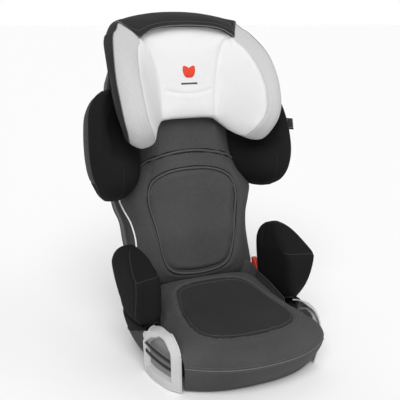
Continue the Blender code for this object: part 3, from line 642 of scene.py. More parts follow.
def headrest_cover(mats):
    rows = [[back(*p) for p in mirrored(row)] for row in headrest_rows()]
    grid = dense(rows, HEAD_FINE, 10)
    piece = grid_mesh("headrest_cover", grid)
    face_out(piece, back(0, -1.0, 0.5))
    columns = grid.shape[1]
    away = np.abs(np.arange(columns) - columns // 2) / HEAD_FINE
    pinned = pins(grid, start=2, end=8)
    for seam in (CREASE, BAND_INNER, BAND_OUTER, STRIP_REAR):
        pinned[:, np.abs(away - seam) < 0.08] = 1
    pinned[:, away > STRIP_REAR] = 1
    swell(piece, pinned.ravel(), pressure=3.0, cap=0.0035)
    crease = head_curve(CREASE, 1, 8)
    groove(piece, crease, width=0.0035, depth=0.0022, roll=0.0004)
    pillow = np.array([back(x, -.080, .4625 + 3.2 * x * x) for x in np.linspace(-.051, .051, 60)])
    groove(piece, [pillow], width=0.0028, depth=0.0011, roll=0.0004)
    bands = head_curve(BAND_INNER, 0, 9) + head_curve(BAND_OUTER, 0, 9)
    groove(piece, bands, width=0.0022, depth=0.0011)
    paint(piece, mats["white"], mats["band"], mats["charcoal"])
    banded(piece, columns, HEAD_FINE, (BAND_INNER, BAND_OUTER))
    thicken(piece, 0.004)
    names = ["headrest_center_pad"] + [f"headrest_wing_pad_{label}" for _, label in SIDES]
    names += [f"headrest_side_trim_{label}" for _, label in SIDES]
    finished(piece, "headrest", names)
    for index, (_, label) in enumerate(SIDES):
        for edge, column, mat in (("inner", BAND_INNER, "white_thread"), ("outer", BAND_OUTER, "thread")):
            line = snapped(piece, head_curve(column, 0, 8)[index], lift=0.0003, count=160)
            bead = tube(f"headrest_{edge}_seam_{label}", line, 0.0009)
            finished(paint(bead, mats[mat]), "headrest")
    line = snapped(piece, pillow + step(0, 0, 0.0036), lift=0.0001, count=80)
    thread = paint(stitches("headrest_pillow_stitch", line), mats["white_thread"])
    finished(thread, "headrest")
    motif(piece, mats)


def motif(cover, mats):
    """A plain two-leafed sprig and a bar, embroidered on the middle of the headrest."""
    points = coordinates(cover)
    tree = tree_of(points)
    front = -.0838
    out = step(0, -1, 0)

    def leaf(middle_x, middle_s, half_x, half_s, turn):
        outline = []
        for angle in np.linspace(0, 2 * math.pi, 40, endpoint=False):
            x = half_x * math.cos(angle) * (1.0 - 0.35 * math.sin(angle))
            s = half_s * math.sin(angle)
            across = middle_x + x * math.cos(turn) - s * math.sin(turn)
            outline.append((across, middle_s + x * math.sin(turn) + s * math.cos(turn)))
        return outline

    bar = [(-.0185, .4818), (.0185, .4818), (.0190, .4832), (.0190, .4845), (.0185, .4858), (-.0185, .4858),
           (-.0190, .4845), (-.0190, .4832)]
    shapes = [
        ("sprig_left", leaf(-.0064, .5120, .0082, .0165, 0.36), "motif"),
        ("sprig_right", leaf(.0064, .5120, .0082, .0165, -0.36), "motif"),
        ("sprig_bar", bar, "motif_grey"),
    ]
    for name, outline, mat in shapes:
        ring = np.array([back(x, front, s) for x, s in outline])
        middle = ring.mean(0)
        loops = []
        for share, rise in ((1.02, -0.0030), (1.0, 0.0004), (0.86, 0.0011), (0.5, 0.0013), (0.1, 0.0013)):
            loops.append(middle + (ring - middle) * share + out * rise)
        grid = np.array(loops)
        heights = []
        for p in loops[1]:
            near = tree.find_n(p, 6)
            heights.append(np.mean([(points[i] - p) @ out for _, i, _ in near]))
        level = float(np.mean(heights))
        piece = grid_mesh(f"motif_{name}", grid + out * level, closed=True, caps=True)
        finished(paint(closed_up(piece), mats[mat]), "headrest")


def headrest_cap(mats):
    """The dark roof: a hem over the pad's top edge, the brow, the top and the rear apron."""
    right = [
        (.000, [(-.0900, .6010), (-.0965, .6030), (-.0925, .6120), (-.078, .6260), (-.036, .6430),
                (.004, .6455), (.024, .6400), (.0265, .6300), (.0265, .6150)]),
        (.028, [(-.0900, .6005), (-.0965, .6022), (-.0925, .6112), (-.078, .6252), (-.036, .6424),
                (.004, .6448), (.024, .6392), (.0265, .6290), (.0265, .6140)]),
        (.055, [(-.0900, .5985), (-.0965, .6000), (-.0925, .6092), (-.078, .6230), (-.036, .6402),
                (.004, .6425), (.024, .6370), (.0265, .6270), (.0265, .6130)]),
        (.080, [(-.0905, .5930), (-.0970, .5945), (-.0930, .6045), (-.078, .6185), (-.036, .6365),
                (.004, .6390), (.024, .6335), (.0265, .6240), (.0265, .6110)]),
        (.098, [(-.0915, .5830), (-.0980, .5845), (-.0935, .5975), (-.078, .6135), (-.036, .6330),
                (.004, .6355), (.023, .6300), (.0255, .6210), (.0250, .6090)]),
        (.1075, [(-.0920, .5775), (-.0982, .5790), (-.0935, .5930), (-.078, .6105), (-.036, .6308),
                 (.004, .6332), (.022, .6280), (.0240, .6190), (.0230, .6080)]),
        (.117, [(-.0790, .5900), (-.0840, .5915), (-.0800, .6015), (-.068, .6140), (-.034, .6290),
                (.003, .6308), (.019, .6255), (.0200, .6170), (.0180, .6070)]),
        (.127, [(-.0650, .6045), (-.0700, .6060), (-.0670, .6120), (-.058, .6190), (-.032, .6272),
                (.000, .6280), (.013, .6225), (.0130, .6150), (.0100, .6060)]),
        (.1370, [(-.0500, .6180), (-.0540, .6185), (-.0530, .6200), (-.047, .6215), (-.030, .6225),
                 (-.006, .6215), (.004, .6170), (.0030, .6110), (.0000, .6050)]),
        (.1445, [(-.0450, .6060), (-.0430, .6075), (-.0380, .6085), (-.031, .6090), (-.022, .6095),
                 (-.012, .6095), (-.002, .6080), (.0010, .6030), (.0005, .5970)]),
        (.1500, [(-.0450, .5900), (-.0420, .5900), (-.0370, .5900), (-.031, .5900), (-.024, .5900),
                 (-.016, .5900), (-.008, .5895), (-.0030, .5880), (-.0020, .5850)]),
        (.1530, [(-.0520, .5700), (-.0480, .5700), (-.0430, .5700), (-.037, .5700), (-.030, .5700),
                 (-.023, .5700), (-.016, .5700), (-.0120, .5700), (-.0110, .5690)]),
    ]
    stations = [(-x, line) for x, line in right[:0:-1]] + right
    rows = [[back(x, t, s) for t, s in line] for x, line in stations]
    grid = dense(rows, 6, 8)
    piece = grid_mesh("headrest_roof", grid)
    face_out(piece, back(0, -0.3, 1.5))
    swell(piece, pins(grid, 2, 2, 7, 7).ravel(), pressure=2.0, cap=0.002)
    paint(piece, mats["charcoal"])
    thicken(piece, 0.0025)
    finished(piece, "headrest", ["headrest_cap"])
    hem = tube("headrest_roof_hem", grid[:, 6] + step(0, -.0004, 0), 0.0012)
    topstitch = stitches("headrest_roof_stitch", snapped(piece, grid[:, 12], lift=0.0002, count=220))
    for line in (hem, topstitch):
        finished(paint(line, mats["thread"]), "headrest")


def headrest_back_shell(mats):
    """The moulded shell behind the pads, curled forwards into the two wings."""
    levels = [
        (.390, .058, .106, .1505, -.0860),
        (.400, .060, .108, .1590, -.0930),
        (.430, .060, .108, .1705, -.1005),
        (.490, .064, .112, .1765, -.0965),
        (.540, .078, .118, .1745, -.0790),
        (.579, .088, .121, .1650, -.0450),
        (.592, .090, .122, .1560, -.0340),
        (.604, .090, .122, .1490, -.0230),
    ]
    rows = []
    for s, flat, bend, tip_x, tip_t in levels:
        half = [
            (0, -.0480), (flat * .5, -.0480), (flat, -.0482), ((flat + bend) / 2, -.0500), (bend, -.0545),
            ((bend + tip_x) / 2, (-.0545 + tip_t) / 2 + .001), (tip_x - .004, tip_t + .003), (tip_x, tip_t),
        ]
        low = .034 * max(0.0, 1 - (s - .39) / .05)
        rows.append([back(x, t, s + low * max(0.0, 1 - abs(x) / .085)) for x, t in mirrored(half)])
    piece = face_out(grid_mesh("headrest_back_shell", dense(rows, 6, 6)), back(0, -1, .5))
    thicken(paint(piece, mats["shell"]), 0.0035)
    finished(piece, "headrest", ["headrest_shell"])


# ---------------------------------------------------------------- shoulder wings

def shoulder_wing_back(side, label, mats):
    """The plastic shell that carries a shoulder bolster, bolted to the flank of the back."""
    levels = [
        (.286, .1640, .2020, -.0085, .2120, -.046),
        (.296, .1645, .2070, -.0100, .2180, -.052),
        (.330, .1690, .2120, -.0105, .2245, -.060),
        (.400, .1690, .2120, -.0105, .2240, -.058),
        (.440, .1690, .2060, -.0105, .2165, -.050),
        (.458, .1690, .1960, -.0100, .2040, -.040),
        (.464, .1690, .1900, -.0090, .1960, -.034),
    ]
    rows = []
    for s, inner, corner_x, corner_t, tip_x, tip_t in levels:
        line = [
            (inner, .0125), (inner + .010, .0110), ((inner + corner_x) / 2 + .004, .0035),
            (corner_x - .002, corner_t + .004), (corner_x + .0035, corner_t - .006),
            ((corner_x + tip_x) / 2 + .0025, (corner_t + tip_t) / 2), (tip_x, tip_t),
        ]
        rows.append([back(side * x, t, s) for x, t in line])
    piece = face_out(grid_mesh(f"shoulder_wing_back_{label}", dense(rows, 7, 6)), back(side * 1.5, 1, .4))
    thicken(paint(piece, mats["shell"]), 0.003)
    finished(piece, "backrest", [f"shoulder_wing_shell_{label}"])


WING_SEAM = 36  # the fine column of the wing's outer seam
WING_PANEL = (37, 54)  # the fine columns of its mesh side panel
WING_PANEL_ROWS = (17, 60)
WING_REAR = 52  # the fine column where the part against the shell begins


def shoulder_wing(side, label, mats):
    """Closed sections: the inner seam, the face, the front roll, the outer seam, the side panel, the rear."""
    levels = [
        (.252, [(.160, -.030), (.168, -.056), (.180, -.066), (.192, -.060), (.198, -.046),
                (.197, -.030), (.188, -.016), (.170, -.0110), (.162, -.0112)]),
        (.262, [(.142, -.040), (.157, -.080), (.178, -.096), (.200, -.090), (.210, -.066),
                (.208, -.036), (.198, -.016), (.165, -.0110), (.145, -.0112)]),
        (.280, [(.122, -.042), (.148, -.096), (.176, -.117), (.206, -.110), (.2190, -.080),
                (.2170, -.042), (.206, -.016), (.160, -.0110), (.127, -.0112)]),
        (.303, [(.111, -.038), (.143, -.100), (.176, -.125), (.210, -.119), (.2280, -.086),
                (.2250, -.044), (.212, -.016), (.155, -.0110), (.117, -.0112)]),
        (.330, [(.108, -.036), (.142, -.092), (.176, -.124), (.212, -.122), (.2318, -.088),
                (.2288, -.044), (.214, -.016), (.152, -.0110), (.113, -.0112)]),
        (.360, [(.108, -.034), (.142, -.068), (.178, -.098), (.212, -.118), (.2318, -.086),
                (.2290, -.044), (.215, -.016), (.152, -.0110), (.113, -.0112)]),
        (.400, [(.108, -.032), (.140, -.054), (.178, -.082), (.210, -.112), (.2285, -.082),
                (.2265, -.042), (.213, -.016), (.152, -.0110), (.113, -.0112)]),
        (.435, [(.108, -.031), (.139, -.052), (.175, -.078), (.204, -.102), (.2220, -.074),
                (.2210, -.040), (.208, -.016), (.152, -.0110), (.113, -.0112)]),
        (.462, [(.111, -.029), (.139, -.048), (.168, -.068), (.190, -.082), (.2060, -.060),
                (.2060, -.036), (.195, -.016), (.152, -.0110), (.116, -.0112)]),
        (.478, [(.119, -.026), (.140, -.042), (.158, -.053), (.173, -.060), (.1840, -.046),
                (.1840, -.030), (.176, -.016), (.150, -.0110), (.122, -.0112)]),
        (.484, [(.130, -.022), (.142, -.032), (.152, -.038), (.160, -.042), (.1660, -.034),
                (.1660, -.026), (.162, -.018), (.148, -.0120), (.132, -.0124)]),
    ]
    rounding = (.25, 0.0, 0.0, 0.0, .15, .55, 1.0, 1.0, .60)
    rows = []
    for s, line in levels:
        heights = [.37 + (s - .37) * (1 - .10 * share) for share in rounding]
        rows.append([back(side * x, t, height) for (x, t), height in zip(line, heights)])
    grid = dense(rows, 9, 7, closed=True)
    piece = closed_up(grid_mesh(f"shoulder_wing_cover_{label}", grid, closed=True, caps=True))
    pinned = pins(grid, 3, 3, left=2)
    pinned[:, WING_SEAM : WING_SEAM + 2] = 1
    pinned[:, WING_REAR:] = 1
    swell(piece, pinned.ravel(), pressure=3.0, cap=0.003)
    paint(piece, mats["black"], mats["side"])
    (first, last), (low, high) = WING_PANEL, WING_PANEL_ROWS
    for polygon in piece.data.polygons:
        row, column = divmod(polygon.index, grid.shape[1])
        polygon.material_index = 1 if first <= column < last and low <= row < high else 0
    sides = grid[low:high, first], grid[low:high, last][::-1]
    top, bottom = grid[high - 1, first + 1 : last], grid[low, first + 1 : last][::-1]
    outline = np.concatenate([sides[0], top, sides[1], bottom])
    line = snapped(piece, outline, lift=0.0, count=220, closed=True)
    groove(piece, [line], width=0.0018, depth=0.0009)
    finished(piece, "backrest", [f"shoulder_wing_pad_{label}"])
    seam = snapped(piece, grid[8:66, WING_SEAM], lift=0.0004, count=120)
    dart = snapped(piece, grid[0:26, 18], lift=0.0001, count=60)
    bead = tube(f"shoulder_wing_piping_{label}", seam, 0.0010)
    for line in (bead, stitches(f"shoulder_wing_dart_{label}", dart)):
        finished(paint(line, mats["dark_thread"]), "backrest")


def wing_tag(mats):
    """A plain folded label in the outer seam, hanging a little away from it."""
    low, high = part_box("wing_label")
    middle_z = (low.z + high.z) / 2
    bottom, top = middle_z - .013, middle_z + .013
    rows = []
    for k, across in enumerate(np.linspace(-.0035, .0205, 11)):
        row = []
        for z in np.linspace(bottom, top, 13):
            lean = .0050 * (top - z) / (top - bottom)
            ripple = .0010 * math.sin(k * .7) + .0008 * math.sin(z * 160)
            row.append((low.x + across + lean, (low.y + high.y) / 2 + ripple, z - .12 * across))
        rows.append(row)
    piece = thicken(grid_mesh("wing_tag", np.array(rows)), 0.0009, 0.0)
    paint(piece, mats["rubber"])
    finished(piece, "backrest", ["wing_label"])
    inner, outer = low.x + .0045, low.x + .0185
    y = (low.y + high.y) / 2 - .0012
    ring = [(inner + .0045, y, bottom + .003), (outer + .0040, y, bottom + .003),
            (outer + .0008, y, top - .004), (inner + .0012, y, top - .004)]
    row = stitches("wing_tag_stitch", np.array(ring + ring[:1]), 0.003, 0.0018, 0.0003)
    finished(paint(row, mats["white_thread"]), "backrest")


# ---------------------------------------------------------------- backrest

BACK_FINE = 8
BACK_PIPING = 5  # the column of the back's rows that carries the piping


def back_rows():
    """Rows up the back. Columns: the middle, the panel and its seam, two on the roll, the piping, the
    side face and its rear edge."""
    table = [
        # s, panel half and front, roll, piping x and t, rear edge x, front lift in the middle
        (.040, .030, -.022, -.022, .112, -.018, .116, -.008),
        (.047, .030, -.033, -.032, .118, -.026, .122, -.008),
        (.062, .052, -.048, -.047, .1305, -.034, .136, -.002),
        (.078, .062, -.053, -.055, .1385, -.037, .1415, .004),
        (.100, .070, -.0545, -.0605, .1370, -.037, .1425, .009),
        (.130, .080, -.0560, -.0630, .1335, -.037, .144, .013),
        (.165, .088, -.0585, -.0640, .1320, -.034, .1465, .0165),
        (.200, .095, -.0560, -.0625, .1375, -.028, .1500, .0165),
        (.228, .100, -.0540, -.0600, .1490, -.0235, .1600, .0165),
        (.252, .1005, -.0530, -.0570, .1560, -.022, .1640, .0165),
        (.276, .095, -.0520, -.0540, .1500, -.021, .1600, .0160),
        (.300, .084, -.0500, -.0510, .1300, -.020, .1500, .0000),
        (.330, .060, -.0480, -.0480, .1180, -.020, .1400, -.0090),
        (.400, .056, -.0440, -.0440, .1120, -.022, .1200, -.0110),
        (.480, .056, -.0425, -.0425, .1100, -.022, .1160, -.0110),
        (.545, .054, -.0410, -.0410, .1060, -.022, .1120, -.0110),
        (.572, .050, -.0330, -.0330, .0970, -.020, .1010, -.0110),
    ]
    rows = []
    for s, panel, front, roll, pipe_x, pipe_t, rear_x, rear_t in table:
        rows.append(
            [
                (0.0, front - .0015, s),
                (panel * .5, front - .0010, s),
                (panel, front + .0010, s),
                (panel + (pipe_x - panel) * .42, roll, s),
                (panel + (pipe_x - panel) * .80, roll * .62 + pipe_t * .38, s),
                (pipe_x, pipe_t, s),
                ((pipe_x + rear_x) / 2 + .001, (pipe_t + rear_t) / 2, s),
                (rear_x, rear_t, s),
            ]
        )
    return rows


def backrest_cover(mats):
    rows = [[back(*p) for p in mirrored(row)] for row in back_rows()]
    grid = dense(rows, BACK_FINE, 8)
    piece = grid_mesh("backrest_cover", grid)
    face_out(piece, back(0, -1.0, 0.3))
    columns = grid.shape[1]
    middle = columns // 2
    away = np.abs(np.arange(columns) - middle) / BACK_FINE
    pinned = pins(grid, start=3, end=2)
    pinned[:, np.abs(away - BACK_PIPING) < 0.1] = 1
    pinned[:, away > 6.5] = 1
    swell(piece, pinned.ravel(), pressure=2.5, cap=0.0025)
    panel = panel_outline()
    widths = np.linspace(-.113, .113, 100)
    arch, fold = (np.array([back(x, -.046, top - 1.65 * x * x) for x in widths]) for top in (.3385, .3290))
    groove(piece, [panel], width=0.0036, depth=0.0058, roll=0.0016)
    groove(piece, [panel_outline(grow=0.0095)], width=0.0026, depth=0.0022, roll=0.0006)
    groove(piece, [arch], width=0.0028, depth=0.0034, roll=0.0012)
    groove(piece, [fold], width=0.0026, depth=0.0016)
    paint(piece, mats["grey"], mats["side"])
    banded(piece, columns, BACK_FINE, (BACK_PIPING,))
    thicken(piece, 0.003)
    finished(piece, "backrest", ["backrest_pad"])
    for side, label in SIDES:
        line = grid[16:92, middle + side * BACK_PIPING * BACK_FINE]
        out = np.array([side * .0006, .0004, 0])
        bead = tube(f"back_piping_{label}", resample(line + out, 160), 0.0018)
        finished(paint(bead, mats["piping"]), "backrest")
    up = step(0, 0, 1)
    lines = {
        "panel": [joined(panel_outline(grow)) for grow in (.0046, .0014, .0080)],
        "arch": [arch + up * g for g in (.0044, .0012, .0078)],
    }
    for name, (cord, inner, outer) in lines.items():
        laid = smooth_line(snapped(piece, cord, lift=0.0004, count=360), 50)
        # the rolled bead itself is real; its lighter grey paints the highlight it catches
        finished(paint(tube(f"back_{name}_cord", laid, 0.0024), mats["cord"]), "backrest")
        # the inner and outer lines are painted groove shade beside the bead, not sewn thread
        for place, path in (("inner", inner), ("outer", outer)):
            laid = smooth_line(snapped(piece, path, lift=0.0005, count=360), 50)
            seam = tube(f"back_{name}_{place}_seam", laid, 0.0009)
            finished(paint(seam, mats["seam"]), "backrest")


def joined(ring):
    """The closed ring with its first points again at its end, so that a line along it has no gap."""
    return np.concatenate([ring, ring[:6]])


def panel_outline(grow=0.0):
    """The sewn channel round the back's panel, wider at the top, with round corners."""
    right = [
        (0, .3012), (.030, .3002), (.060, .2945), (.084, .2835), (.0965, .2705), (.1005, .2550),
        (.0990, .2360), (.0950, .2080), (.0890, .1640), (.0845, .1380), (.0785, .1130),
        (.0680, .0965), (.0520, .0870), (.0300, .0830), (0, .0815),
    ]
    path = grown_ring(right, (0.0, .195), grow)
    return np.array([back(x, -.056 if s < .25 else -.050, s) for x, s in path])


# ---------------------------------------------------------------- seat

def seat_rows():
    """Rows from the rear of the cushion to the foot of its nose. Columns run from the middle outwards."""
    def row(y, half, top, edge, bow=0.0):
        shares = (0.0, .22, .44, .64, .80, .91, .97, 1.0)
        drops = (0.0, .01, .03, .08, .20, .42, .70, 1.0)
        points = []
        for share, drop in zip(shares, drops):
            points.append((half * share, y + bow * share**2.4, top - (top - edge) * drop))
        return points

    return [
        row(.0760, .128, .0900, .0860),
        row(.0755, .132, .1160, .0880),
        row(.0690, .1375, .1345, .0900),
        row(.0450, .1390, .1375, .0920),
        row(.0150, .1400, .1295, .0940),
        row(-.020, .1405, .1225, .0930),
        row(-.055, .1415, .1180, .0900),
        row(-.085, .1450, .1155, .0870, bow=.004),
        row(-.115, .1500, .1130, .0860, bow=.008),
        row(-.145, .1530, .1100, .0850, bow=.014),
        row(-.175, .1545, .1060, .0850, bow=.024),
        row(-.200, .1540, .1000, .0830, bow=.034),
        row(-.220, .1530, .0915, .0790, bow=.044),
        row(-.233, .1525, .0780, .0720, bow=.052),
        row(-.2375, .1515, .0645, .0630, bow=.0555),
    ]


def seat_cover(mats):
    grid = dense([mirrored(row) for row in seat_rows()], 8, 8)
    piece = grid_mesh("seat_cover", grid)
    face_out(piece, (0, -.1, 2))
    columns = grid.shape[1]
    middle = columns // 2
    away = np.abs(np.arange(columns) - middle) / 8
    pinned = pins(grid, start=2, end=3)
    pinned[:, away > 6.6] = 1
    swell(piece, pinned.ravel(), pressure=2.5, cap=0.003)
    inset = inset_outline()
    groove(piece, [inset], width=0.0034, depth=0.0040, roll=0.0012)
    inner = inset_outline(-0.0065)
    groove(piece, [inner], width=0.0018, depth=0.0009)
    paint(piece, mats["grey"], mats["inset"])
    points = coordinates(piece)
    ring = resample(inset, 200, closed=True)[:, :2]
    for polygon in piece.data.polygons:
        middle_point = points[list(polygon.vertices)].mean(0)
        polygon.material_index = 1 if inside(middle_point[:2], ring) and middle_point[2] > 0.09 else 0
    thicken(piece, 0.003)
    finished(piece, "base", ["seat_cushion"])
    for name, path in (("inset", inner), ("outer", inset_outline(0.0060))):
        laid = snapped(piece, path, lift=0.0002, count=420)
        finished(paint(stitches(f"seat_{name}_stitch", laid), mats["thread"]), "base")
    front_skirt(grid[-1], mats)


def inside(point, ring):
    """Whether a plan point lies inside a closed ring."""
    x, y = point
    x0, y0 = ring[:, 0], ring[:, 1]
    x1, y1 = np.roll(x0, -1), np.roll(y0, -1)
    crosses = (y0 > y) != (y1 > y)
    with np.errstate(divide="ignore", invalid="ignore"):
        at = x0 + (y - y0) * (x1 - x0) / (y1 - y0)
    return bool((crosses & (x < at)).sum() % 2)


def inset_outline(grow=0.0):
    """The darker inset of the seat: narrower behind, widest near its round front."""
    right = [(0, .0330), (.045, .0315), (.070, .0240), (.0840, .0080), (.0925, -.020), (.1000, -.055),
             (.1055, -.095), (.1065, -.125), (.0990, -.1520), (.0790, -.1700), (.045, -.1805), (0, -.1840)]
    path = grown_ring(right, (0.0, -.08), grow)
    return np.array([(x, y, .1165 + max(0.0, y) * .4 + min(0.0, y) * .075) for x, y in path])


def front_skirt(edge, mats):
    """The front panel under the nose, from its seam down to a hem near the floor."""
    edge = resample(edge, 121)
    rows = []
    for z, pull, inward in (
        (.0640, .0012, .0000), (.0600, .0000, .0005), (.0480, .0055, .0020), (.0340, .0160, .0045),
        (.0200, .0285, .0075), (.0090, .0395, .0105), (.0040, .0445, .0125), (.0046, .0520, .0150),
    ):
        row = edge.copy()
        width = np.abs(row[:, 0]) / 0.1515
        row[:, 1] += pull * (1 - 0.38 * width**2)
        row[:, 0] *= 1 - inward / 0.15
        row[:, 2] = z
        rows.append(row)
    grid = spline(np.array(rows), 57)
    piece = face_out(grid_mesh("seat_front_skirt", grid), (0, -2, 0))
    swell(piece, pins(grid, 3, 8, 2, 2).ravel(), pressure=1.5, cap=0.0015)
    paint(thicken(piece, 0.0022), mats["grey"])
    finished(piece, "base", ["seat_skirt"])
    seam = tube("seat_front_seam", edge + np.array((0, -.0004, -.0004)), 0.0011)
    finished(paint(seam, mats["thread"]), "base")
    for name, drop in (("upper", .0042), ("lower", -.0042)):
        line = edge + np.array((0, 0, drop))
        target = bpy.data.objects["seat_cover"] if drop > 0 else piece
        laid = snapped(target, line[4:-4], lift=0.0003, count=220)
        finished(paint(stitches(f"seat_front_{name}_stitch", laid), mats["thread"]), "base")


def hip_flaps(mats):
    """The seat cover's side cloth, which drops beside the cushion into the gap by the bolster."""
    stations = (
        (.066, .1405, .130), (.040, .1405, .1265), (.010, .1405, .1215), (-.02, .1405, .1145),
        (-.05, .1410, .106),
    )
    for side, label in SIDES:
        rows = []
        for y, x, top in stations:
            fall = ((-.0015, top), (.0008, top - .005), (.0012, .092), (.0002, .0835))
            rows.append([(side * (x + out), y, z) for out, z in fall])
        piece = grid_mesh(f"seat_side_cloth_{label}", dense(rows, 5, 8))
        face_out(piece, (side * 2, 0, .1))
        paint(thicken(piece, 0.0016), mats["grey"])
        finished(piece, "base")


def rear_valance(mats):
    """The seat cover's rear cloth, which falls behind the cushion to the plastic base."""
    fall = ((.0735, .1250), (.0800, .1120), (.0870, .0980), (.0915, .0880), (.0920, .0840))
    shares = np.linspace(-1, 1, 9)
    rows = [[(.127 * u, y - .0020 * u**4, z - .004 * u**4) for u in shares] for y, z in fall]
    grid = dense(rows, 8, 7)
    piece = face_out(grid_mesh("seat_rear_cloth", grid), (0, 2, .1))
    paint(thicken(piece, 0.0020), mats["grey"])
    finished(piece, "base")
    hem = tube("seat_rear_cloth_hem", grid[-2], 0.0013)
    finished(paint(hem, mats["thread"]), "base")


def hip_gusset(side, label, mats):
    """The cloth that joins the seat's rear corner to the flared foot of the back."""
    top = ((.096, .1500), (.112, .1540), (.124, .1505), (.1346, .1400), (.1430, .1300), (.1470, .1245))
    rows = []
    for share in np.linspace(0, 1, 6):
        row = []
        for x, high in top:
            z = .0900 + (high - .0900) * share
            inboard = max(0.0, (.130 - x) / .034)
            out = x + .0010 * (1 - share)
            row.append((side * out, .0785 - .0040 * share + .0180 * inboard**2, z))
        rows.append(row)
    piece = face_out(grid_mesh(f"hip_gusset_{label}", dense(rows, 7, 6)), (side * .12, -2, .1))
    paint(thicken(piece, 0.0022), mats["grey"])
    finished(piece, "backrest")


def side_seam_height(y):
    """How high the seam between the bolster's cloth and the knitted side runs."""
    return float(np.interp(y, (-.050, .030, .075), (.090, .0560, .0480)))


def base_side(side, label, mats):
    """The knitted side of the base behind the fairing, drawn in under the bolster, with a hem on top."""
    profile = (
        (.0035, .1460), (.0060, .1500), (.0160, .1585), (.0300, .1665), (.0460, .1735),
        (.0620, .1785), (.0760, .1825), (.0860, .1845), (.0925, .1838), (.0950, .1790),
    )
    plan = ((-.0470, -.0120), (-.0485, -.0030), (-.0440, .0), (-.0150, .0014), (.0150, .0016),
            (.0450, .0), (.0660, -.0035), (.0730, -.0090), (.0720, -.0180))
    rows = [[(side * (x + bow), y, z) for y, bow in plan] for z, x in profile]
    grid = dense(rows, 7, 6)
    piece = face_out(grid_mesh(f"base_side_cloth_{label}", grid), (side * 2, 0, .05))
    swell(piece, pins(grid, 3, 8, 10, 10).ravel(), pressure=1.5, cap=0.0015)
    paint(thicken(piece, 0.0026), mats["side"], mats["black"])
    points = coordinates(piece)
    for polygon in piece.data.polygons:
        _, y, z = points[list(polygon.vertices)].mean(0)
        polygon.material_index = 1 if z > side_seam_height(y) else 0
    finished(piece, "base", [f"base_side_cover_{label}"])
    seam = []
    for column in range(grid.shape[1]):
        line = grid[:, column]
        gap = np.abs(line[:, 2] - [side_seam_height(y) for y in line[:, 1]])
        seam.append(line[gap.argmin()])
    laid = snapped(piece, smooth_line(seam, 6), lift=0.0002, count=120)
    for name, path, mat in (("seam", laid, "dark_thread"), ("foot_hem", grid[4], "thread")):
        line = tube(f"base_side_{name}_{label}", path, 0.0012)
        finished(paint(line, mats[mat]), "base")


# ---------------------------------------------------------------- armrests

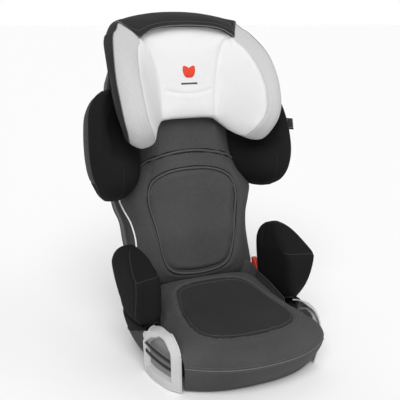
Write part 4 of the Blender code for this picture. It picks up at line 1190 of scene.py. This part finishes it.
def armrest(side, label, mats):
    """Closed sections up the bolster: its inner face, front, outer face and rear, each with a corner."""
    rise = 0.005 * side
    levels = [
        (.0848, [(.1500, -.010), (.1490, -.046), (.154, -.0560), (.162, -.047), (.1700, -.034),
                 (.174, -.006), (.172, .018), (.160, .045), (.1500, .062), (.1495, .030)]),
        (.0930, [(.1485, -.008), (.1475, -.050), (.154, -.0610), (.166, -.052), (.1780, -.034),
                 (.181, -.006), (.179, .018), (.162, .050), (.1480, .067), (.1480, .032)]),
        (.1120, [(.1465, -.006), (.1455, -.053), (.154, -.0650), (.172, -.057), (.1920, -.038),
                 (.196, -.004), (.193, .026), (.170, .054), (.1470, .0715), (.1462, .034)]),
        (.1340, [(.1450, -.006), (.1440, -.052), (.153, -.0660), (.174, -.063), (.1960, -.050),
                 (.1995, -.002), (.1965, .040), (.172, .061), (.1455, .0745), (.1447, .036)]),
        (.1600, [(.1440, -.004), (.1430, -.050), (.152, -.0660), (.175, -.0675), (.1985, -.060),
                 (.2020, .000), (.1990, .056), (.173, .0700), (.1442, .0770), (.1436, .038)]),
        (.1860, [(.1435, .000), (.1425, -.045), (.152, -.0630), (.176, -.0680), (.2000, -.0655),
                 (.2035, .004), (.2008, .068), (.174, .0775), (.1435, .0790), (.1430, .040)]),
        (.1990, [(.1435, .004), (.1428, -.036), (.153, -.0540), (.176, -.0615), (.2000, -.0640),
                 (.2030, .008), (.2005, .072), (.174, .0795), (.1440, .0800), (.1434, .042)]),
        (.2100, [(.1445, .016), (.1445, -.018), (.154, -.0350), (.175, -.0425), (.1975, -.0440),
                 (.2005, .016), (.1985, .072), (.174, .0795), (.1455, .0795), (.1444, .046)]),
        (.2230, [(.1475, .028), (.1478, .000), (.156, -.0130), (.174, -.0185), (.1925, -.0190),
                 (.1960, .026), (.1940, .068), (.173, .0760), (.1495, .0755), (.1476, .050)]),
        (.2335, [(.1540, .036), (.1545, .016), (.161, .0060), (.173, .0025), (.1862, .0035),
                 (.1888, .032), (.1870, .060), (.172, .0680), (.1565, .0675), (.1540, .052)]),
        (.2395, [(.1625, .042), (.1630, .030), (.167, .0230), (.173, .0205), (.1790, .0215),
                 (.1803, .036), (.1790, .050), (.172, .0540), (.1650, .0535), (.1627, .048)]),
    ]
    rows = []
    for z, line in levels:
        lift = rise * max(0.0, (z - .18) / .06)
        undercut = .022 * max(0.0, 1 - (z - .0848) / .045)
        heights = []
        for x, y in line:
            forward = min(1.0, max(0.0, -(y + .010) / .050))
            inboard = min(1.0, max(0.0, (.184 - x) / .030))
            heights.append(z + lift + undercut * forward * inboard)
        rows.append([(side * x, y, height) for (x, y), height in zip(line, heights)])
    fine = 9
    grid = dense(rows, fine, 8, closed=True)
    piece = closed_up(grid_mesh(f"armrest_cover_{label}", grid, closed=True, caps=True))
    front_edge, outer_edge, cross_row = 2 * fine, 4 * fine, 6 * 8
    pinned = pins(grid, start=3, end=3)
    pinned[:, outer_edge - 1 : outer_edge + 2] = 1
    pinned[cross_row - 1 : cross_row + 2, fine : outer_edge + 2] = 1
    swell(piece, pinned.ravel(), pressure=3.0, cap=0.0028)
    outer_line = grid[4:80, outer_edge]
    cross = grid[cross_row, fine : outer_edge + 1]
    groove(piece, [outer_line, cross], width=0.0022, depth=0.0016, roll=0.0004)
    groove(piece, [grid[8:cross_row, front_edge]], width=0.0018, depth=0.0005)
    paint(piece, mats["black"])
    finished(piece, "base", [f"armrest_pad_{label}"])
    for name, path in (("edge", outer_line), ("cross", cross)):
        laid = snapped(piece, path, lift=0.0003, count=160)
        seam = tube(f"armrest_{name}_seam_{label}", laid, 0.0008)
        finished(paint(seam, mats["dark_thread"]), "base")
    hem = tube(f"armrest_hem_{label}", grid[2], 0.0013, closed=True)
    finished(paint(hem, mats["dark_thread"]), "base")


# ---------------------------------------------------------------- plastic details

FAIRING_LEVELS = [
    # z, then front, corner and rear in plan
    (.0030, (.1475, -.1580), (.1610, -.1380), (.1745, -.0480)),
    (.0160, (.1490, -.1615), (.1630, -.1410), (.1765, -.0480)),
    (.0300, (.1500, -.1640), (.1650, -.1425), (.1775, -.0480)),
    (.0500, (.1515, -.1670), (.1660, -.1450), (.1780, -.0475)),
    (.0660, (.1525, -.1690), (.1670, -.1465), (.1785, -.0470)),
    (.0780, (.1530, -.1695), (.1675, -.1465), (.1790, -.0475)),
    (.0880, (.1535, -.1660), (.1678, -.1430), (.1790, -.0525)),
    (.0965, (.1540, -.1595), (.1678, -.1370), (.1785, -.0630)),
    (.1030, (.1545, -.1510), (.1670, -.1290), (.1770, -.0690)),
    (.1068, (.1545, -.1440), (.1645, -.1240), (.1735, -.0650)),
    (.1090, (.1540, -.1360), (.1600, -.1190), (.1670, -.0590)),
    (.1098, (.1535, -.1280), (.1550, -.1150), (.1585, -.0550)),
]


def fairing_rows(side):
    """Rows of the fairing's outer face, from its rear edge round the corner to the front flange."""
    rows = []
    for z, front, corner, rear in FAIRING_LEVELS:
        front, corner, rear = (np.array(p) for p in (front, corner, rear))
        bulge = .0045 * max(0.0, 1 - (z / .10) ** 2)
        side_way = np.array((1.0, 0.0))
        line = [
            rear,
            rear + (corner - rear) * .30 + side_way * bulge,
            rear + (corner - rear) * .62 + side_way * bulge,
            rear + (corner - rear) * .90 + side_way * bulge * .5,
            corner + (front - corner) * .12,
            corner + (front - corner) * .50,
            front,
        ]
        drop = max(0.0, (z - .090) / .020)
        falls = (.0115 * drop, .0045 * drop, 0.0, 0.0, 0.0, 0.0, 0.0)
        rows.append([(side * x, y, z - fall) for (x, y), fall in zip(line, falls)])
    return rows


def fairing(side, label, mats):
    """The light cover on the base's corner, with an arched recess that is open to the rear."""
    across, up = 14, 10
    grid = dense(fairing_rows(side), across, up)
    piece = face_out(grid_mesh(f"fairing_cover_{label}", grid), (side * 2, -1, .05))
    points = coordinates(piece)
    columns = grid.shape[1]
    share = (np.arange(len(points)) % columns) / across
    z = points[:, 2]
    roof = np.interp(share, (0.0, 1.0, 2.0, 3.0, 3.5, 3.9), (.062, .086, .1000, .0985, .093, .083))
    ends = np.minimum((share - .10) * .028, (3.92 - share) * .014)
    inward = np.minimum(ends, np.minimum(z - .0175, roof - z))
    mask = np.clip(inward / .0035 + .5, 0, 1)
    mask = mask * mask * (3 - 2 * mask)
    set_coordinates(piece, points - normals(piece) * (mask * .0115)[:, None])
    paint(piece, mats["light"], mats["inner"])
    # faces deep in the recess take the darker grey, a painted shade of the recess
    for polygon in piece.data.polygons:
        if mask[list(polygon.vertices)].min() > 0.93:
            polygon.material_index = 1
    thicken(piece, 0.0024)
    finished(piece, "base", [f"side_fairing_{label}"])
    rims = (("rear", grid[:, 0]), ("front", grid[:, -1]), ("foot", grid[0]))
    for name, path in rims:
        rim = tube(f"fairing_{name}_rim_{label}", path, 0.0016)
        finished(paint(rim, mats["light"]), "base")
    for rank, drop in (("upper", 0.0), ("lower", -.0165)):
        low, high = .0622 + drop, .0648 + drop
        at = [(0.10 + 3.75 * k, high + (low - high) * k) for k in np.linspace(0, 1, 26)]
        sunk = np.array((side * .0030, -.0005, 0))
        path = smooth_line(np.array([surface_at(grid, z, a * across) for a, z in at]) - sunk, 20)
        name = f"fairing_strip_{rank}_{label}"
        strip = tube(name + "_cover", path, 0.0038, sides=12, flat=0.36, up=(side, -.2, 0))
        finished(paint(strip, mats["rubber"]), "base", [name])


def surface_at(grid, z, column):
    """The point of a grid's column at a height."""
    low = min(int(column), grid.shape[1] - 2)
    f = column - low
    line = grid[:, low] * (1 - f) + grid[:, low + 1] * f
    return np.array([np.interp(z, line[:, 2], line[:, k]) for k in range(3)])


def rounded_plate(name, outline, to_space, thickness, round_off=0.002):
    """A moulded plate with softened edges, from an outline and a map to the row frame."""
    mesh = bpy.data.meshes.new(name)
    bm = bmesh.new()
    near = [bm.verts.new(to_space(a, b, -thickness / 2)) for a, b in outline]
    face = bm.faces.new(near)
    grown = bmesh.ops.extrude_face_region(bm, geom=[face])
    moved = [v for v in grown["geom"] if isinstance(v, bmesh.types.BMVert)]
    shift = Vector(to_space(0, 0, thickness / 2)) - Vector(to_space(0, 0, -thickness / 2))
    bmesh.ops.translate(bm, verts=moved, vec=shift)
    bmesh.ops.recalc_face_normals(bm, faces=bm.faces)
    bm.to_mesh(mesh)
    bm.free()
    piece = linked(name, mesh)
    bevel = piece.modifiers.new("softened", "BEVEL")
    bevel.width = round_off
    bevel.segments = 3
    mesh.shade_smooth()
    return piece


def round_corners(points, radius, steps=5):
    """The closed outline with each corner turned into an arc-like curve."""
    points = [np.array(p, float) for p in points]
    out = []
    for k, p in enumerate(points):
        before, after = points[k - 1], points[(k + 1) % len(points)]
        a = p + (before - p) * min(0.5, radius / np.linalg.norm(before - p))
        b = p + (after - p) * min(0.5, radius / np.linalg.norm(after - p))
        for f in np.linspace(0, 1, steps):
            out.append(tuple((1 - f) ** 2 * a + 2 * f * (1 - f) * p + f * f * b))
    return out


def belt_guides(mats):
    """The red hooks: for the lap belt beside each hip and for the shoulder belt behind each wing."""
    foot = .0827
    lap = [
        (.078, foot), (.118, foot), (.118, foot + .016), (.091, foot + .016), (.091, foot + .048),
        (.113, foot + .048), (.114, foot + .060), (.100, foot + .068), (.084, foot + .062),
        (.078, foot + .046),
    ]
    shoulder = [
        (-.022, .442), (-.022, .394), (-.016, .388), (.016, .388), (.022, .394), (.022, .414), (.014, .414),
        (.014, .400), (.010, .397), (-.009, .397), (-.013, .401), (-.013, .430), (.022, .430), (.022, .442),
    ]
    turn = math.radians(-34.0)
    for side, label in SIDES:
        cos, sin = side * math.cos(turn), math.sin(turn)

        def by_the_hip(y, z, d):
            return (side * .150 + d, y, z)

        def behind_wing(a, s, d):
            return tuple(back(side * .1320 + a * cos - d * sin, -.0636 + a * sin + d * cos, s))

        hook = rounded_plate(f"lap_belt_hook_{label}", round_corners(lap, .0035), by_the_hip, 0.012)
        finished(paint(hook, mats["red"]), "base", [f"lap_belt_guide_{label}"])
        outline = round_corners(shoulder, .002)
        ring = rounded_plate(f"shoulder_belt_hook_{label}", outline, behind_wing, 0.004, 0.0012)
        finished(paint(ring, mats["red"]), "headrest", [f"shoulder_belt_guide_{label}"])


def carried_over(nodes, mats):
    """The frame's own pieces keep their shape and get a finished material."""
    kinds = {
        "shell": ("base_shell", "backrest_shell", "headrest_bridge", "headrest_carriage", "armrest_core",
                  "recline_claw", "claw_arm", "lever_ear"),
        "light": ("release_lever",),
        "rubber": ("grip_pad",),
        "steel": ("recline_axle", "height_rack", "lever_pin", "lock_bolt", "pull_rod", "headrest_rail",
                  "carriage_screw"),
    }
    for kind, starts in kinds.items():
        for name, piece in nodes.items():
            if name.startswith(starts):
                paint(piece, mats[kind])
                piece.data.shade_smooth()
                piece.data.set_sharp_from_angle(angle=math.radians(32))


# ---------------------------------------------------------------- stage

def make_stage():
    """A white floor, three broad lights and the studio's sky."""
    size = 90.0
    mesh = bpy.data.meshes.new("floor")
    corners = [(-size, -size, 0), (size, -size, 0), (size, size, 0), (-size, size, 0)]
    mesh.from_pydata(corners, [], [(0, 1, 2, 3)])
    floor = linked("floor", mesh)
    floor.location.z = -0.0002
    n = Nodes("studio_floor")
    n.set(Base_Color=(0.90, 0.90, 0.90, 1.0), Roughness=0.8)
    paint(floor, n.material)
    studio_world()
    for name, place, energy, angle in (
        ("key", (-0.65, -1.3, 1.45), 2.6, 44.0),
        ("fill", (1.5, -0.9, 1.3), 0.55, 70.0),
        ("rim", (0.4, 1.6, 1.4), 0.45, 60.0),
    ):
        light = bpy.data.lights.new(name, "SUN")
        light.energy = energy
        light.angle = math.radians(angle)
        lamp = linked(name, light)
        lamp.location = place
        lamp.rotation_euler = (-lamp.location).to_track_quat("-Z", "Y").to_euler()
    scene = bpy.context.scene
    scene.view_settings.view_transform = "Standard"
    scene.view_settings.look = "None"


def studio_world():
    """White at the horizon, dimmer overhead, so that the key light shapes the object."""
    world = bpy.data.worlds.new("studio")
    world.use_nodes = True
    tree = world.node_tree
    place = tree.nodes.new("ShaderNodeTexCoord")
    split = tree.nodes.new("ShaderNodeSeparateXYZ")
    ramp = tree.nodes.new("ShaderNodeValToRGB")
    elements = ramp.color_ramp.elements
    elements[0].position = 0.06
    elements[0].color = (1.0, 1.0, 1.0, 1.0)
    elements[1].position = 0.34
    elements[1].color = (0.28, 0.28, 0.28, 1.0)
    tree.links.new(place.outputs["Generated"], split.inputs["Vector"])
    tree.links.new(split.outputs["Z"], ramp.inputs["Fac"])
    tree.links.new(ramp.outputs["Color"], tree.nodes["Background"].inputs["Color"])
    bpy.context.scene.world = world


def make_camera():
    camera = bpy.data.cameras.new("camera")
    camera.sensor_width = 36.0
    camera.lens = 64.8
    holder = linked("camera", camera)
    azimuth = math.radians(-25.3)
    pitch = math.radians(14.0)
    holder.location = (-0.636, -1.273, 0.677)
    holder.rotation_euler = (math.radians(90) - pitch, 0.0, azimuth)
    bpy.context.scene.camera = holder


def main():
    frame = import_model()
    mats = make_materials()
    make_camera()
    make_stage()
    carried_over(frame["nodes"], mats)
    headrest_cover(mats)
    headrest_cap(mats)
    headrest_back_shell(mats)
    backrest_cover(mats)
    wing_tag(mats)
    seat_cover(mats)
    hip_flaps(mats)
    rear_valance(mats)
    belt_guides(mats)
    for side, label in SIDES:
        shoulder_wing(side, label, mats)
        shoulder_wing_back(side, label, mats)
        armrest(side, label, mats)
        fairing(side, label, mats)
        base_side(side, label, mats)
        hip_gusset(side, label, mats)


main()
